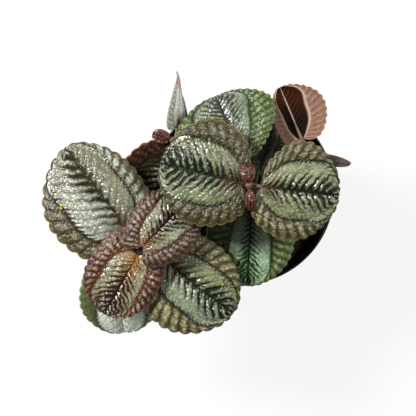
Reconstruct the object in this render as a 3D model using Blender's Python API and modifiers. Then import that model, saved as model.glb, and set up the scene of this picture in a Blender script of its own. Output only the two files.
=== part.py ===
"""Potted pilea: a bushy foliage plant in a small round nursery pot.

The stems stand in potting mix. Each stem carries its leaves in pairs, every pair turned a quarter turn from
the one below, and ends in a bud of young leaves. Every leaf, with its own stalk, is one solid.

Metres, +Z up. The origin is the middle of the pot's underside, and the pot stands on the plane z = 0.
"""

import math

import bmesh
import bpy
from mathutils import Euler, Matrix, Vector

MM = 0.001
GAP = 0.3 * MM  # clearance between pieces that touch on the real plant
WELD = 0.01 * MM
SHARP_ANGLE = math.radians(35)

# ---- pot --------------------------------------------------------------------------------------------
RIM_RADIUS = 52.5 * MM
POT_HEIGHT = 92 * MM
BASE_RADIUS = 37 * MM
WALL = 1.3 * MM
COLLAR_HEIGHT = 9 * MM
COLLAR_STEP = 1.6 * MM
CHANNEL_INNER, CHANNEL_OUTER, CHANNEL_RISE = 15 * MM, 29 * MM, 2.4 * MM
DRAIN_HOLES = 8
DRAIN_RADIUS = 3.2 * MM
POT_STEPS = 40
CHANNEL_RAMP = 2 * MM  # how far the channel's side walls lean over
RIM_ROUND = 0.5 * MM
FLOOR_ROUND = 1 * MM

# ---- potting mix ------------------------------------------------------------------------------------
SOIL_TOP = 78 * MM
SOIL_CROWN = 2 * MM
SOIL_ROUND = 1 * MM  # how far the mix has sunk along the pot's wall

# ---- leaf build -------------------------------------------------------------------------------------
BLADE_THICKNESS = 1.0 * MM
BLADE_ROWS, BLADE_COLUMNS = 8, 8
OUTER_SWELL = 0.7  # the swelling beyond the side veins, as a share of the one between them
SIDE_VEIN = 0.62  # where the two side veins run, as a share of the half width
SWELL = 0.035  # how high the blade swells between its veins, as a share of the half width
BLADE_END = 0.8 * MM  # half the width of the blade's blunt ends
PETIOLE_RADIUS = 1.1 * MM
STALK_TAPER = (1.15, 1.0, 1.0, 0.8, 0.5)  # the stalk's radius from its foot to its end under the midrib
FULL_SIZE = 30  # a leaf shorter than this has a thinner blade and stalk, in proportion

# ---- colours ----------------------------------------------------------------------------------------
BLACK_PLASTIC = (0.012, 0.012, 0.013)
DARK_MIX = (0.028, 0.02, 0.014)
STEM_BROWN = (0.16, 0.07, 0.04)
LEAF_COLOURS = {
    "bronze": (0.2, 0.21, 0.13),
    "green": (0.16, 0.23, 0.13),
    "red": (0.22, 0.09, 0.05),
    "pink": (0.33, 0.2, 0.15),
}

# Each stem's centreline from below the mix to its tip, in millimetres, then its foot's and its tip's radius.
STEMS = {
    "stem_front": (((6, 0, 64), (6, 0, 80), (6, 1, 104), (3.5, 3, 127), (2.2, 2.6, 147)), 2.5, 1.6),
    "stem_left": (
        ((-14, -4, 64), (-14, -4, 80), (-26, -12, 92), (-42, -22, 103), (-52, -29, 118), (-55.3, -32, 133.5)),
        2.4,
        1.5,
    ),
    "stem_back": (((-18, 13, 64), (-18, 13, 80), (-25, 18, 94), (-33, 24, 106), (-39, 28, 120)), 2.2, 1.4),
    "stem_right": (((21, 12, 64), (21, 12, 80), (26, 16, 91), (32, 20, 102), (35.5, 23.5, 113)), 2.2, 1.5),
}


EVEN_LOBES = (0.5, 0.5)  # how far most leaves reach back on both sides of their stalks
MIDDLE = (0.463, 0.463)  # most leaves are widest a little before the middle of their length


class Leaf:
    """One leaf. Lengths are in millimetres and angles in degrees.

    stem, height   the stem it grows on, and how high its stalk leaves it
    lie            yaw, pitch and roll: the way it points seen from above (0 is +X and 90 is +Y), how far its
                   base points up, and how far it turns about its own midrib
    stalk          the stalk's length, how far its foot lies below the blade, and the angle that it makes with
                   the midrib, seen from above
    size           the blade's length, and its width left and right of the midrib
    shape          how far the midrib has turned down by the tip, how far each half folds up along it, and how
                   far the left and the right half have turned up by their margins
    look           the leaf's colour
    twist          how far the blade has turned about its midrib by the tip
    lobes          how strongly the left and the right half reach back beside the stalk
    peaks          where each half is widest, as a share of the length
    """

    def __init__(
        self, name, stem, height, lie, stalk, size, shape, look, twist=0, lobes=EVEN_LOBES, peaks=MIDDLE
    ):
        self.name, self.stem, self.height = "leaf_" + name, "stem_" + stem, height * MM
        yaw, pitch, roll = (math.radians(angle) for angle in lie)
        self.turn = Euler((roll, -pitch, yaw))
        run, drop, swing = stalk
        swing = math.radians(swing)
        foot = Vector((-run * math.cos(swing), -run * math.sin(swing), -drop)) * MM
        self.foot = Matrix.Rotation(-roll, 3, "X") @ foot
        self.length, *self.halves = (x * MM for x in size)
        self.slim = max(min(size[0] / FULL_SIZE, 1), 0.5)
        self.bend, self.fold, *self.cups = (math.radians(angle) for angle in shape)
        self.twist, self.lobes = math.radians(twist), lobes
        self.skews = [math.log(0.5) / math.log(peak) for peak in peaks]
        self.look = look


LEAVES = [
    # the front stem: its bud of two young leaves, its top pair and second pair, and old leaves in the shade
    Leaf("bud_north", "front", 145.5, (97, 24, 0), (2.2, 3.6, 0), (9.5, 4.6, 4.6), (80, 0, -50, -50), "red"),
    Leaf("bud_south", "front", 145.5, (-86, 8, 0), (2.6, 3.6, 0), (9, 2.6, 2.6), (50, 16, -50, -50), "red"),
    Leaf("front_west", "front", 142, (166, 4, 0), (1.5, 2, 0), (44, 27, 29), (26, 8, -22, -22), "bronze",
         lobes=(0.5, 0.3)),
    Leaf("front_east", "front", 142, (-6.5, 4, 0), (4, 2, 0), (41.6, 26, 26), (26, 8, -22, -20), "bronze",
         lobes=(0.1, 0.4), peaks=(0.5, 0.44)),
    Leaf("front_north", "front", 127, (113, 4, 0), (11, 2, -8), (41.2, 32, 27.5), (44, 8, -22, -22), "green",
         lobes=(0.5, 0.3), peaks=(0.48, 0.6)),
    Leaf("front_south", "front", 111, (-93, 2, 0), (7, 3, 0), (45, 24, 24), (24, 8, -22, -22), "green"),
    Leaf("front_low_west", "front", 99, (180, -2, 0), (8, 3, 0), (28, 14, 14), (26, 8, -20, -20), "green"),
    Leaf("front_low_east", "front", 97, (-40, -2, 0), (9, 3, 0), (26, 13, 13), (26, 8, -20, -20), "green"),
    Leaf("front_low_north", "front", 88, (72, 8, 0), (9, 3, 0), (28, 15, 11), (26, 8, -20, -20), "green"),
    # the left stem: its young top pair, its big second pair, the low leaf beyond the rim, one in the shade
    Leaf("left_northeast", "left", 131.5, (47, 3, 0), (0.6, 4.5, 0), (36, 17.5, 19), (30, 10, -24, -24), "red",
         lobes=(0.9, 0.9), peaks=(0.52, 0.52)),
    Leaf("left_southwest", "left", 129, (-120, 0, 0), (1.1, 3, 0), (37.5, 18.5, 21.5), (28, 10, -24, -24), "red",
         lobes=(1.1, 1)),
    Leaf("left_northwest", "left", 121, (127, 6, 0), (7, 3, 12), (60, 32.6, 23), (24, 8, -16, -34), "bronze"),
    Leaf("left_southeast", "left", 120, (-38, 4, 0), (8, 2, 0), (50.5, 24.2, 29), (24, 8, -22, -22), "bronze"),
    Leaf("left_low", "left", 109, (-85, -4, 0), (26.4, 2, -58.5), (44, 22.5, 21.8), (50, 8, -20, -20), "green"),
    Leaf("left_shade", "left", 98, (-90, 0, 0), (8, 3, 0), (26, 13, 13), (26, 8, -20, -20), "green"),
    # the back stem: its young pair, its top pair, and a small leaf behind them
    Leaf("back_young_west", "back", 118.5, (162, 20, 0), (1.9, 3, 0), (8.4, 4, 4), (50, 9, -50, -50), "red"),
    Leaf("back_young_east", "back", 116.5, (46, 14, 0), (2.4, 3, 0), (6, 3, 3), (70, 10, -50, -50), "red"),
    Leaf("back_north", "back", 115, (87, -6, 52), (5.8, 2, -6), (31, 12.5, 6.5), (10, 14, -20, -20), "green",
         twist=34, lobes=(0.2, 0.2), peaks=(0.24, 0.24)),
    Leaf("back_inner", "back", 100, (97, 0, 78), (15, 3, 3), (18, 5, 5), (10, 14, -20, -20), "green"),
    Leaf("back_south", "back", 113, (-117, -14, 0), (6, 2, 14), (42, 20, 25.5), (24, 8, -20, 30), "red"),
    # the right stem: its top pair, and one in the shade
    Leaf("right_north", "right", 111, (114, 6, 180), (4, 2, 0), (30.5, 19.6, 10.5), (10, 8, -30, -30), "pink",
         peaks=(0.5, 0.42)),
    Leaf("right_east", "right", 109, (-16, 4, 74), (4, 2, -15), (20, 9, 9), (12, 10, -24, -24), "pink"),
    Leaf("right_shade", "right", 97, (-35, 0, 0), (6, 3, 0), (20, 11, 11), (26, 8, -20, -20), "green"),
]


def clear_scene():
    for obj in list(bpy.data.objects):
        bpy.data.objects.remove(obj)


def collection(name):
    made = bpy.data.collections.new(name)
    bpy.context.scene.collection.children.link(made)
    return made


def material(name, colour, roughness):
    made = bpy.data.materials.new(name)
    made.use_nodes = True
    shader = made.node_tree.nodes["Principled BSDF"]
    shader.inputs["Base Color"].default_value = (*colour, 1)
    shader.inputs["Roughness"].default_value = roughness
    return made


def link(obj, group, finish=None):
    group.objects.link(obj)
    if finish:
        obj.data.materials.append(finish)
    return obj


def evaluated_mesh(obj, name):
    """The object's mesh, modifiers applied and shaded smooth, as a new object that takes its place."""
    graph = bpy.context.evaluated_depsgraph_get()
    mesh = bpy.data.meshes.new_from_object(obj.evaluated_get(graph))
    place = obj.matrix_world.copy()
    bpy.data.objects.remove(obj)
    made = bpy.data.objects.new(name, mesh)
    made.matrix_world = place
    work = bmesh.new()
    work.from_mesh(mesh)
    bmesh.ops.remove_doubles(work, verts=work.verts, dist=WELD)
    work.to_mesh(mesh)
    work.free()
    mesh.shade_smooth()
    mesh.set_sharp_from_angle(angle=SHARP_ANGLE)
    return made


def boolean(obj, name, operation, other):
    """Lets the other object cut or join this one, and keeps it out of sight."""
    other.hide_render = True
    other.display_type = "WIRE"
    step = obj.modifiers.new(name, "BOOLEAN")
    step.operation = operation
    step.solver = "EXACT"
    step.object = other


# ---- smooth curves ----------------------------------------------------------------------------------


def through(points, steps):
    """Points on a smooth curve that passes through the given ones (Catmull-Rom)."""
    ends = [2 * points[0] - points[1], *points, 2 * points[-1] - points[-2]]
    curve = []
    for a, b, c, d in zip(ends, ends[1:], ends[2:], ends[3:]):
        square, cube = 2 * a - 5 * b + 4 * c - d, 3 * b - a - 3 * c + d
        for i in range(steps):
            u = i / steps
            curve.append(0.5 * (2 * b + (c - a) * u + square * u**2 + cube * u**3))
    return [*curve, points[-1].copy()]


def stem_rod(name):
    """The stem's centreline and its radius at each point of it."""
    points, foot, tip = STEMS[name]
    line = through([Vector(p) * MM for p in points], 4)
    radii = [(foot + (tip - foot) * i / (len(line) - 1)) * MM for i in range(len(line))]
    return line, radii


def stem_at(name, height):
    """The stem's centre at a height, its radius there and its direction."""
    line, radii = stem_rod(name)
    for i, (a, b) in enumerate(zip(line, line[1:])):
        if a.z <= height <= b.z:
            return a.lerp(b, (height - a.z) / (b.z - a.z)), radii[i], (b - a).normalized()
    return line[-1], radii[-1], (line[-1] - line[-2]).normalized()


def tube(name, points, radii, sides=2):
    """A round rod along the points, as a mesh object."""
    data = bpy.data.curves.new(name, "CURVE")
    data.dimensions = "3D"
    data.bevel_depth = 1
    data.bevel_resolution = sides
    data.use_fill_caps = True
    spline = data.splines.new("POLY")
    spline.points.add(len(points) - 1)
    for point, place, radius in zip(spline.points, points, radii):
        point.co = (*place, 1)
        point.radius = radius
    curve = bpy.data.objects.new(name, data)
    bpy.context.scene.collection.objects.link(curve)
    bpy.context.view_layer.update()
    return evaluated_mesh(curve, name)


# ---- pot and mix ------------------------------------------------------------------------------------


def turned(name, profile, steps):
    """A closed profile of (radius, height) points, running down the outside, turned about Z."""
    mesh = bpy.data.meshes.new(name)
    mesh.from_pydata([(r, 0, z) for r, z in profile], [(i, i + 1) for i in range(len(profile) - 1)], [])
    obj = bpy.data.objects.new(name, mesh)
    bpy.context.scene.collection.objects.link(obj)
    screw = obj.modifiers.new("turn", "SCREW")
    screw.steps = screw.render_steps = steps
    screw.use_merge_vertices = True
    screw.merge_threshold = WELD
    bpy.context.view_layer.update()
    return evaluated_mesh(obj, name)


def wall_radius(height):
    """The pot wall's outer radius below the collar."""
    shoulder = RIM_RADIUS - COLLAR_STEP
    return BASE_RADIUS + (shoulder - BASE_RADIUS) * height / (POT_HEIGHT - COLLAR_HEIGHT)


def pot_profile():
    """From the middle of the floor's upper face, up the inside, over the rim, down the outside and back."""
    collar = POT_HEIGHT - COLLAR_HEIGHT
    neck = wall_radius(collar)
    corner = wall_radius(WALL) - WALL
    inside = [
        (0, WALL),
        (CHANNEL_INNER - WALL / 2, WALL),
        (CHANNEL_INNER + CHANNEL_RAMP - WALL / 2, WALL + CHANNEL_RISE),
        (CHANNEL_OUTER - CHANNEL_RAMP + WALL / 2, WALL + CHANNEL_RISE),
        (CHANNEL_OUTER + WALL / 2, WALL),
        (corner - FLOOR_ROUND, WALL),
        (corner, WALL + FLOOR_ROUND),
        (neck - WALL, collar),
        (neck - WALL + COLLAR_STEP, collar + FLOOR_ROUND),
        (RIM_RADIUS - WALL, POT_HEIGHT - RIM_ROUND),
        (RIM_RADIUS - 0.7 * WALL, POT_HEIGHT),
    ]
    outside = [
        (RIM_RADIUS - 0.3 * WALL, POT_HEIGHT),
        (RIM_RADIUS, POT_HEIGHT - RIM_ROUND),
        (neck + COLLAR_STEP - 0.3 * WALL, collar + WALL / 2),
        (neck + COLLAR_STEP / 2, collar),
        (neck, collar),
        (wall_radius(FLOOR_ROUND), FLOOR_ROUND),
        (BASE_RADIUS - FLOOR_ROUND, 0),
        (CHANNEL_OUTER, 0),
        (CHANNEL_OUTER - CHANNEL_RAMP, CHANNEL_RISE),
        (CHANNEL_INNER + CHANNEL_RAMP, CHANNEL_RISE),
        (CHANNEL_INNER, 0),
        (0, 0),
    ]
    return inside + outside


def make_pot(group, helpers, finish):
    pot = link(turned("pot", pot_profile(), POT_STEPS), group, finish)
    middle = (CHANNEL_INNER + CHANNEL_OUTER) / 2
    holes = bmesh.new()
    for i in range(DRAIN_HOLES):
        turn = 2 * math.pi * (i + 0.5) / DRAIN_HOLES
        across = (middle * math.cos(turn), middle * math.sin(turn))
        place = Matrix.Translation((*across, CHANNEL_RISE + WALL / 2))
        size = {"radius1": DRAIN_RADIUS, "radius2": DRAIN_RADIUS, "depth": 4 * WALL}
        bmesh.ops.create_cone(holes, cap_ends=True, segments=12, matrix=place, **size)
    mesh = bpy.data.meshes.new("drain_holes")
    holes.to_mesh(mesh)
    holes.free()
    boolean(pot, "drainage", "DIFFERENCE", link(bpy.data.objects.new("drain_holes", mesh), helpers))


def make_soil(group, helpers, finish):
    """The mix fills the pot to below the collar, with a low crown, and has a hole where each stem goes in."""
    top_edge = wall_radius(SOIL_TOP - SOIL_ROUND) - WALL - GAP
    floor = WALL + CHANNEL_RISE + GAP
    floor_edge = wall_radius(floor) - WALL - GAP - FLOOR_ROUND
    profile = [
        (0, SOIL_TOP + SOIL_CROWN),
        (top_edge * 0.45, SOIL_TOP + SOIL_CROWN * 0.8),
        (top_edge * 0.85, SOIL_TOP + SOIL_CROWN * 0.1),
        (top_edge, SOIL_TOP - SOIL_ROUND),
        (floor_edge, floor),
        (0, floor),
    ]
    soil = link(turned("potting_mix", profile, POT_STEPS), group, finish)
    for name in STEMS:
        line, radii = stem_rod(name)
        line.insert(0, line[0] - Vector((0, 0, GAP)))
        radii.insert(0, radii[0])
        buried = [i for i, point in enumerate(line) if point.z < SOIL_TOP + 6 * SOIL_CROWN]
        cutter = tube(name + "_hole", [line[i] for i in buried], [radii[i] + GAP for i in buried])
        boolean(soil, name, "DIFFERENCE", link(cutter, helpers))


def make_stem(name, group, finish):
    line, radii = stem_rod(name)
    link(tube(name, line, radii), group, finish)


# ---- leaves -----------------------------------------------------------------------------------------


def half_width(s, half, skew):
    """The half width at a share s of the length: a leaf that is round at both ends."""
    return BLADE_END + (half - BLADE_END) * math.sin(math.pi * s**skew) ** 0.6 if 0 < s < 1 else BLADE_END


def arc(length, start, turn, whole):
    """(along, up) after going a length on an arc that starts at an angle and turns by turn over whole."""
    if abs(turn) < 1e-6:
        return length * math.cos(start), length * math.sin(start)
    rate = turn / whole
    end = start + rate * length
    return (math.sin(end) - math.sin(start)) / rate, (math.cos(start) - math.cos(end)) / rate


def blade_point(leaf, s, t):
    """The blade's middle surface in the leaf's own axes: s is 0 at the base and 1 at the tip, t is -1 to 1."""
    pairs = (leaf.halves, leaf.lobes, leaf.skews, leaf.cups)
    half, lobe, skew, cup = (pair[0 if t > 0 else 1] for pair in pairs)
    width = half_width(s, half, skew)
    back = lobe * leaf.length * t * t * width / half * (1 - s) ** 4
    side, up = arc(abs(t) * width, leaf.fold, cup, half)
    inner = min(abs(t) / SIDE_VEIN, 1)
    outer = max(abs(t) - SIDE_VEIN, 0) / (1 - SIDE_VEIN)
    up += SWELL * width * (math.sin(math.pi * inner) + OUTER_SWELL * math.sin(math.pi * outer))
    side = math.copysign(side, t)
    roll = leaf.twist * s
    side, up = side * math.cos(roll) - up * math.sin(roll), side * math.sin(roll) + up * math.cos(roll)
    reach = s * leaf.length - back
    along, lift = arc(reach, 0, -leaf.bend, leaf.length)
    heading = -leaf.bend * reach / leaf.length
    return Vector((along - up * math.sin(heading), side, lift + up * math.cos(heading)))


def blade(leaf):
    """The blade as a grid, with closer rows at its round ends, then thickened."""
    work = bmesh.new()
    bmesh.ops.create_grid(work, x_segments=BLADE_ROWS, y_segments=BLADE_COLUMNS, size=1)
    for vert in work.verts:
        s = (1 - math.cos(math.pi * (vert.co.x + 1) / 2)) / 2
        vert.co = blade_point(leaf, s, vert.co.y)
    mesh = bpy.data.meshes.new(leaf.name)
    work.to_mesh(mesh)
    work.free()
    obj = bpy.data.objects.new(leaf.name, mesh)
    bpy.context.scene.collection.objects.link(obj)
    shell = obj.modifiers.new("thickness", "SOLIDIFY")
    shell.thickness = BLADE_THICKNESS * leaf.slim
    shell.offset = 0
    bpy.context.view_layer.update()
    return evaluated_mesh(obj, leaf.name)


def stalk_points(leaf):
    """The stalk's centreline: from its foot, up to the blade's base, then on under the midrib."""
    sunk = Vector((0, 0, -0.4 * MM * leaf.slim))
    foot = leaf.foot
    bow = Vector((foot.x * 0.5, foot.y * 0.5, foot.z * 0.35))
    return [foot, bow, sunk, blade_point(leaf, 0.15, 0) + sunk, blade_point(leaf, 0.3, 0) + sunk]


def leaf_place(leaf, points, stalk_radius):
    """Where the leaf's origin goes, so that its stalk's foot stands just clear of the stem's skin."""
    turn = leaf.turn.to_matrix()
    centre, radius, rise = stem_at(leaf.stem, leaf.height)
    foot = turn @ points[0]
    aim = turn @ (points[1] - points[0]).normalized()
    out = Vector((-foot.x, -foot.y, 0))
    out = (out - out.dot(rise) * rise).normalized()
    reach = stalk_radius * math.sqrt(max(1 - aim.dot(out) ** 2, 0))
    return centre + out * (radius + GAP + reach) - foot


def make_leaf(leaf, group, helpers, finish):
    obj = link(blade(leaf), group, finish)
    points = stalk_points(leaf)
    radii = [PETIOLE_RADIUS * leaf.slim * share for share in STALK_TAPER]
    stalk = link(tube(leaf.name + "_stalk", points, radii, 1), helpers)
    boolean(obj, "stalk", "UNION", stalk)
    for each in (obj, stalk):
        each.location = leaf_place(leaf, points, radii[0])
        each.rotation_euler = leaf.turn


def main():
    clear_scene()
    group = collection("potted_pilea")
    helpers = collection("helpers")
    make_pot(group, helpers, material("pot_plastic", BLACK_PLASTIC, 0.5))
    make_soil(group, helpers, material("potting_mix", DARK_MIX, 0.95))
    stem_finish = material("stem", STEM_BROWN, 0.55)
    for name in STEMS:
        make_stem(name, group, stem_finish)
    finishes = {look: material("leaf_" + look, colour, 0.4) for look, colour in LEAF_COLOURS.items()}
    for leaf in LEAVES:
        make_leaf(leaf, group, helpers, finishes[leaf.look])


main()
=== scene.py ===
# %% [markdown]
# # A potted pilea, seen from above
#
# A pilea is a small house plant whose leaves look quilted: three long veins and a dozen cross veins on
# each side are sunk into the blade, and the tissue between them puffs up. Silver lies on the puffs, and
# the valleys stay dark. The plant stands in a thin black nursery pot.
#
# The packed frame says which solids the plant is made of. They could be sculpted and painted by hand.
# Here a script builds the surface that each of them shows, because all leaves then follow the same few
# rules, and one changed number changes them all.

# %% Load the frame and keep its box
import math

import bmesh
import bpy
import numpy as np
from mathutils import Euler, Matrix, Vector


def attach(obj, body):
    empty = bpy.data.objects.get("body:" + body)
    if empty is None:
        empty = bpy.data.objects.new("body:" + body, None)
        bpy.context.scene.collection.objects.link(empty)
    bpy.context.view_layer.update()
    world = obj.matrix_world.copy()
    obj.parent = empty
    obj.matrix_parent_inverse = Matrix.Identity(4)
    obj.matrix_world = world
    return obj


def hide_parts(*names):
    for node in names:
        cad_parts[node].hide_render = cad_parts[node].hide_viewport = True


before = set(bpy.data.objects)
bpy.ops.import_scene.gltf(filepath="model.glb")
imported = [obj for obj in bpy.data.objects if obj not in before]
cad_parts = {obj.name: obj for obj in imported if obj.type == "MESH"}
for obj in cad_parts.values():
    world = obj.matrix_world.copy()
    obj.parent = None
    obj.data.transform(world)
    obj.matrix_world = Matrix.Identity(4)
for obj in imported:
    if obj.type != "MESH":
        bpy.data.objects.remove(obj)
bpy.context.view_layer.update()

MM = 0.001
print("nodes in the frame:", len(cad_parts))

# %% [markdown]
# ## Fades, peaks and waves
#
# smoothstep fades a value in over a range, bell peaks inside a range, and humps makes a row of rounded
# ridges. wander is a smooth, aimless wave made of a few sines. Its seed fixes its phases, so it is the
# same on every run. Blender has noise textures too, but they work while rendering. Sines are quick over a
# whole grid of points, so that both a leaf's shape and its colours can use them.

# %% Fades, peaks and waves
def smoothstep(low, high, x):
    u = np.clip((x - low) / (high - low), 0, 1)
    return u * u * (3 - 2 * u)


def bell(centre, spread, x):
    return np.exp(-(((x - centre) / spread) ** 2))


def humps(x):
    """Rounded humps: 0 at every whole number, and 1 half way between."""
    return np.abs(np.sin(math.pi * x))


WANDER_GAIN = 1.3  # sines rarely peak together, so their mean is raised a little
SLOWEST, FASTEST = 2.5, 6  # how fast a wander's sines run, in radians per unit


def wander(u, v, seed, waves=5):
    """A smooth wave over (u, v) between about -1 and 1, whose features are about one unit across."""
    rng = np.random.default_rng(seed)
    total = 0
    for _ in range(waves):
        heading, phase = rng.uniform(0, 2 * math.pi, 2)
        pace = rng.uniform(SLOWEST, FASTEST)
        total = total + np.sin(pace * (u * math.cos(heading) + v * math.sin(heading)) + phase)
    return total / waves * WANDER_GAIN


print("a wander sample:", round(float(wander(0.3, 0.7, 1)), 3))

# %% [markdown]
# ## Curves and objects
#
# through draws a smooth curve past a handful of points, as one bends a wire past a row of pegs. A Blender
# curve could do that too, but stems, stalks and leaves all have to know where the line runs, and a plain
# list of points is easy to hand on. add_object puts something new into the scene.

# %% Curves and objects
def through(points, steps):
    """Points on a smooth curve that passes through the given ones (Catmull-Rom)."""
    ends = [2 * points[0] - points[1], *points, 2 * points[-1] - points[-2]]
    curve = []
    for a, b, c, d in zip(ends, ends[1:], ends[2:], ends[3:]):
        for i in range(steps):
            u = i / steps
            bow, turn = 2 * a - 5 * b + 4 * c - d, 3 * b - a - 3 * c + d
            curve.append(0.5 * (2 * b + (c - a) * u + bow * u**2 + turn * u**3))
    return [*curve, points[-1].copy()]


def add_object(name, data):
    """Puts a mesh, a lamp or a camera into the scene."""
    made = bpy.data.objects.new(name, data)
    bpy.context.scene.collection.objects.link(made)
    return made


print("a curve past 3 pegs has", len(through([Vector((x, x * x, 0)) for x in range(3)], 4)), "points")

# %% [markdown]
# ## The layout of the stems
#
# Four stems grow from the mix, and the long one leans out over the rim. A stem is a list of points that
# it grows through, its radius at the foot, and that at the tip, all in millimetres. They could be drawn
# freely, but these are the solid model's own points, so that each stem lies where its plain solid does.

# %% The layout of the stems
STEMS = {
    "stem_front": (((6, 0, 64), (6, 0, 80), (6, 1, 104), (3.5, 3, 127), (2.2, 2.6, 147)), 2.5, 1.6),
    "stem_left": (
        ((-14, -4, 64), (-14, -4, 80), (-26, -12, 92), (-42, -22, 103), (-52, -29, 118), (-55.3, -32, 133.5)),
        2.4,
        1.5,
    ),
    "stem_back": (((-18, 13, 64), (-18, 13, 80), (-25, 18, 94), (-33, 24, 106), (-39, 28, 120)), 2.2, 1.4),
    "stem_right": (((21, 12, 64), (21, 12, 80), (26, 16, 91), (32, 20, 102), (35.5, 23.5, 113)), 2.2, 1.5),
}
print("stems:", len(STEMS), "the highest reaches", max(line[-1][2] for line, _, _ in STEMS.values()), "mm")

# %% [markdown]
# ## One leaf in numbers
#
# A pilea carries its leaves in pairs, each pair a quarter turn from the one below, and no two leaves are
# quite alike. Each could be modelled by itself. But all of them grow in the same way, so a leaf is put
# down as a few numbers, in millimetres and degrees, and the same functions build every one.

# %% One leaf in numbers
FULL_SIZE = 30  # a leaf shorter than this has a thinner blade and stalk, in proportion
EVEN_LOBES = (0.5, 0.5)  # how far most leaves reach back on both sides of their stalks
USUAL_PEAKS = (0.463, 0.463)  # most leaves are widest a little before the middle of their length


class Leaf:
    """One leaf on its stem.

    height   where its stalk leaves the stem, over the table
    lie      the way it points, seen from above; how far its tip is raised; how far it is rolled to its right
    stalk    how far the stalk runs, how far its foot lies below the blade, and how far it swings to the side
    size     the blade's length, and the widths of its left and right half
    shape    how far the midrib bends, how far the halves fold up, and how far the left and right half curl
    look     the name of its look
    twist    how far the blade has turned about its midrib by the tip
    lobes    how strongly the left and the right half reach back beside the stalk
    peaks    where each half is widest, as a share of the length
    """

    def __init__(
        self, name, stem, height, lie, stalk, size, shape, look, twist=0, lobes=EVEN_LOBES, peaks=USUAL_PEAKS
    ):
        self.name, self.stem, self.height = "leaf_" + name, "stem_" + stem, height * MM
        yaw, pitch, roll = (math.radians(angle) for angle in lie)
        self.turn = Euler((roll, -pitch, yaw))
        run, drop, swing = stalk
        swing = math.radians(swing)
        foot = Vector((-run * math.cos(swing), -run * math.sin(swing), -drop)) * MM
        self.foot = Matrix.Rotation(-roll, 3, "X") @ foot
        self.length, *self.halves = (x * MM for x in size)
        self.slim = max(min(size[0] / FULL_SIZE, 1), 0.5)
        self.bend, self.fold, *self.cups = (math.radians(angle) for angle in shape)
        self.twist, self.lobes = math.radians(twist), lobes
        self.skews = [math.log(0.5) / math.log(peak) for peak in peaks]
        self.look = look


print("leaves shorter than", FULL_SIZE, "mm have thinner blades and stalks")

# %% [markdown]
# ## The layout of the leaves
#
# The list has the same places and sizes as the solid model, so every quilted leaf lies where its plain
# solid does. The looks are named after what one sees: bronze mature leaves with silver bands, greener
# ones lower down, red young ones, and two that turn their pink undersides up. The few leaves in the shade
# keep the stems from looking bare from the side.

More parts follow.
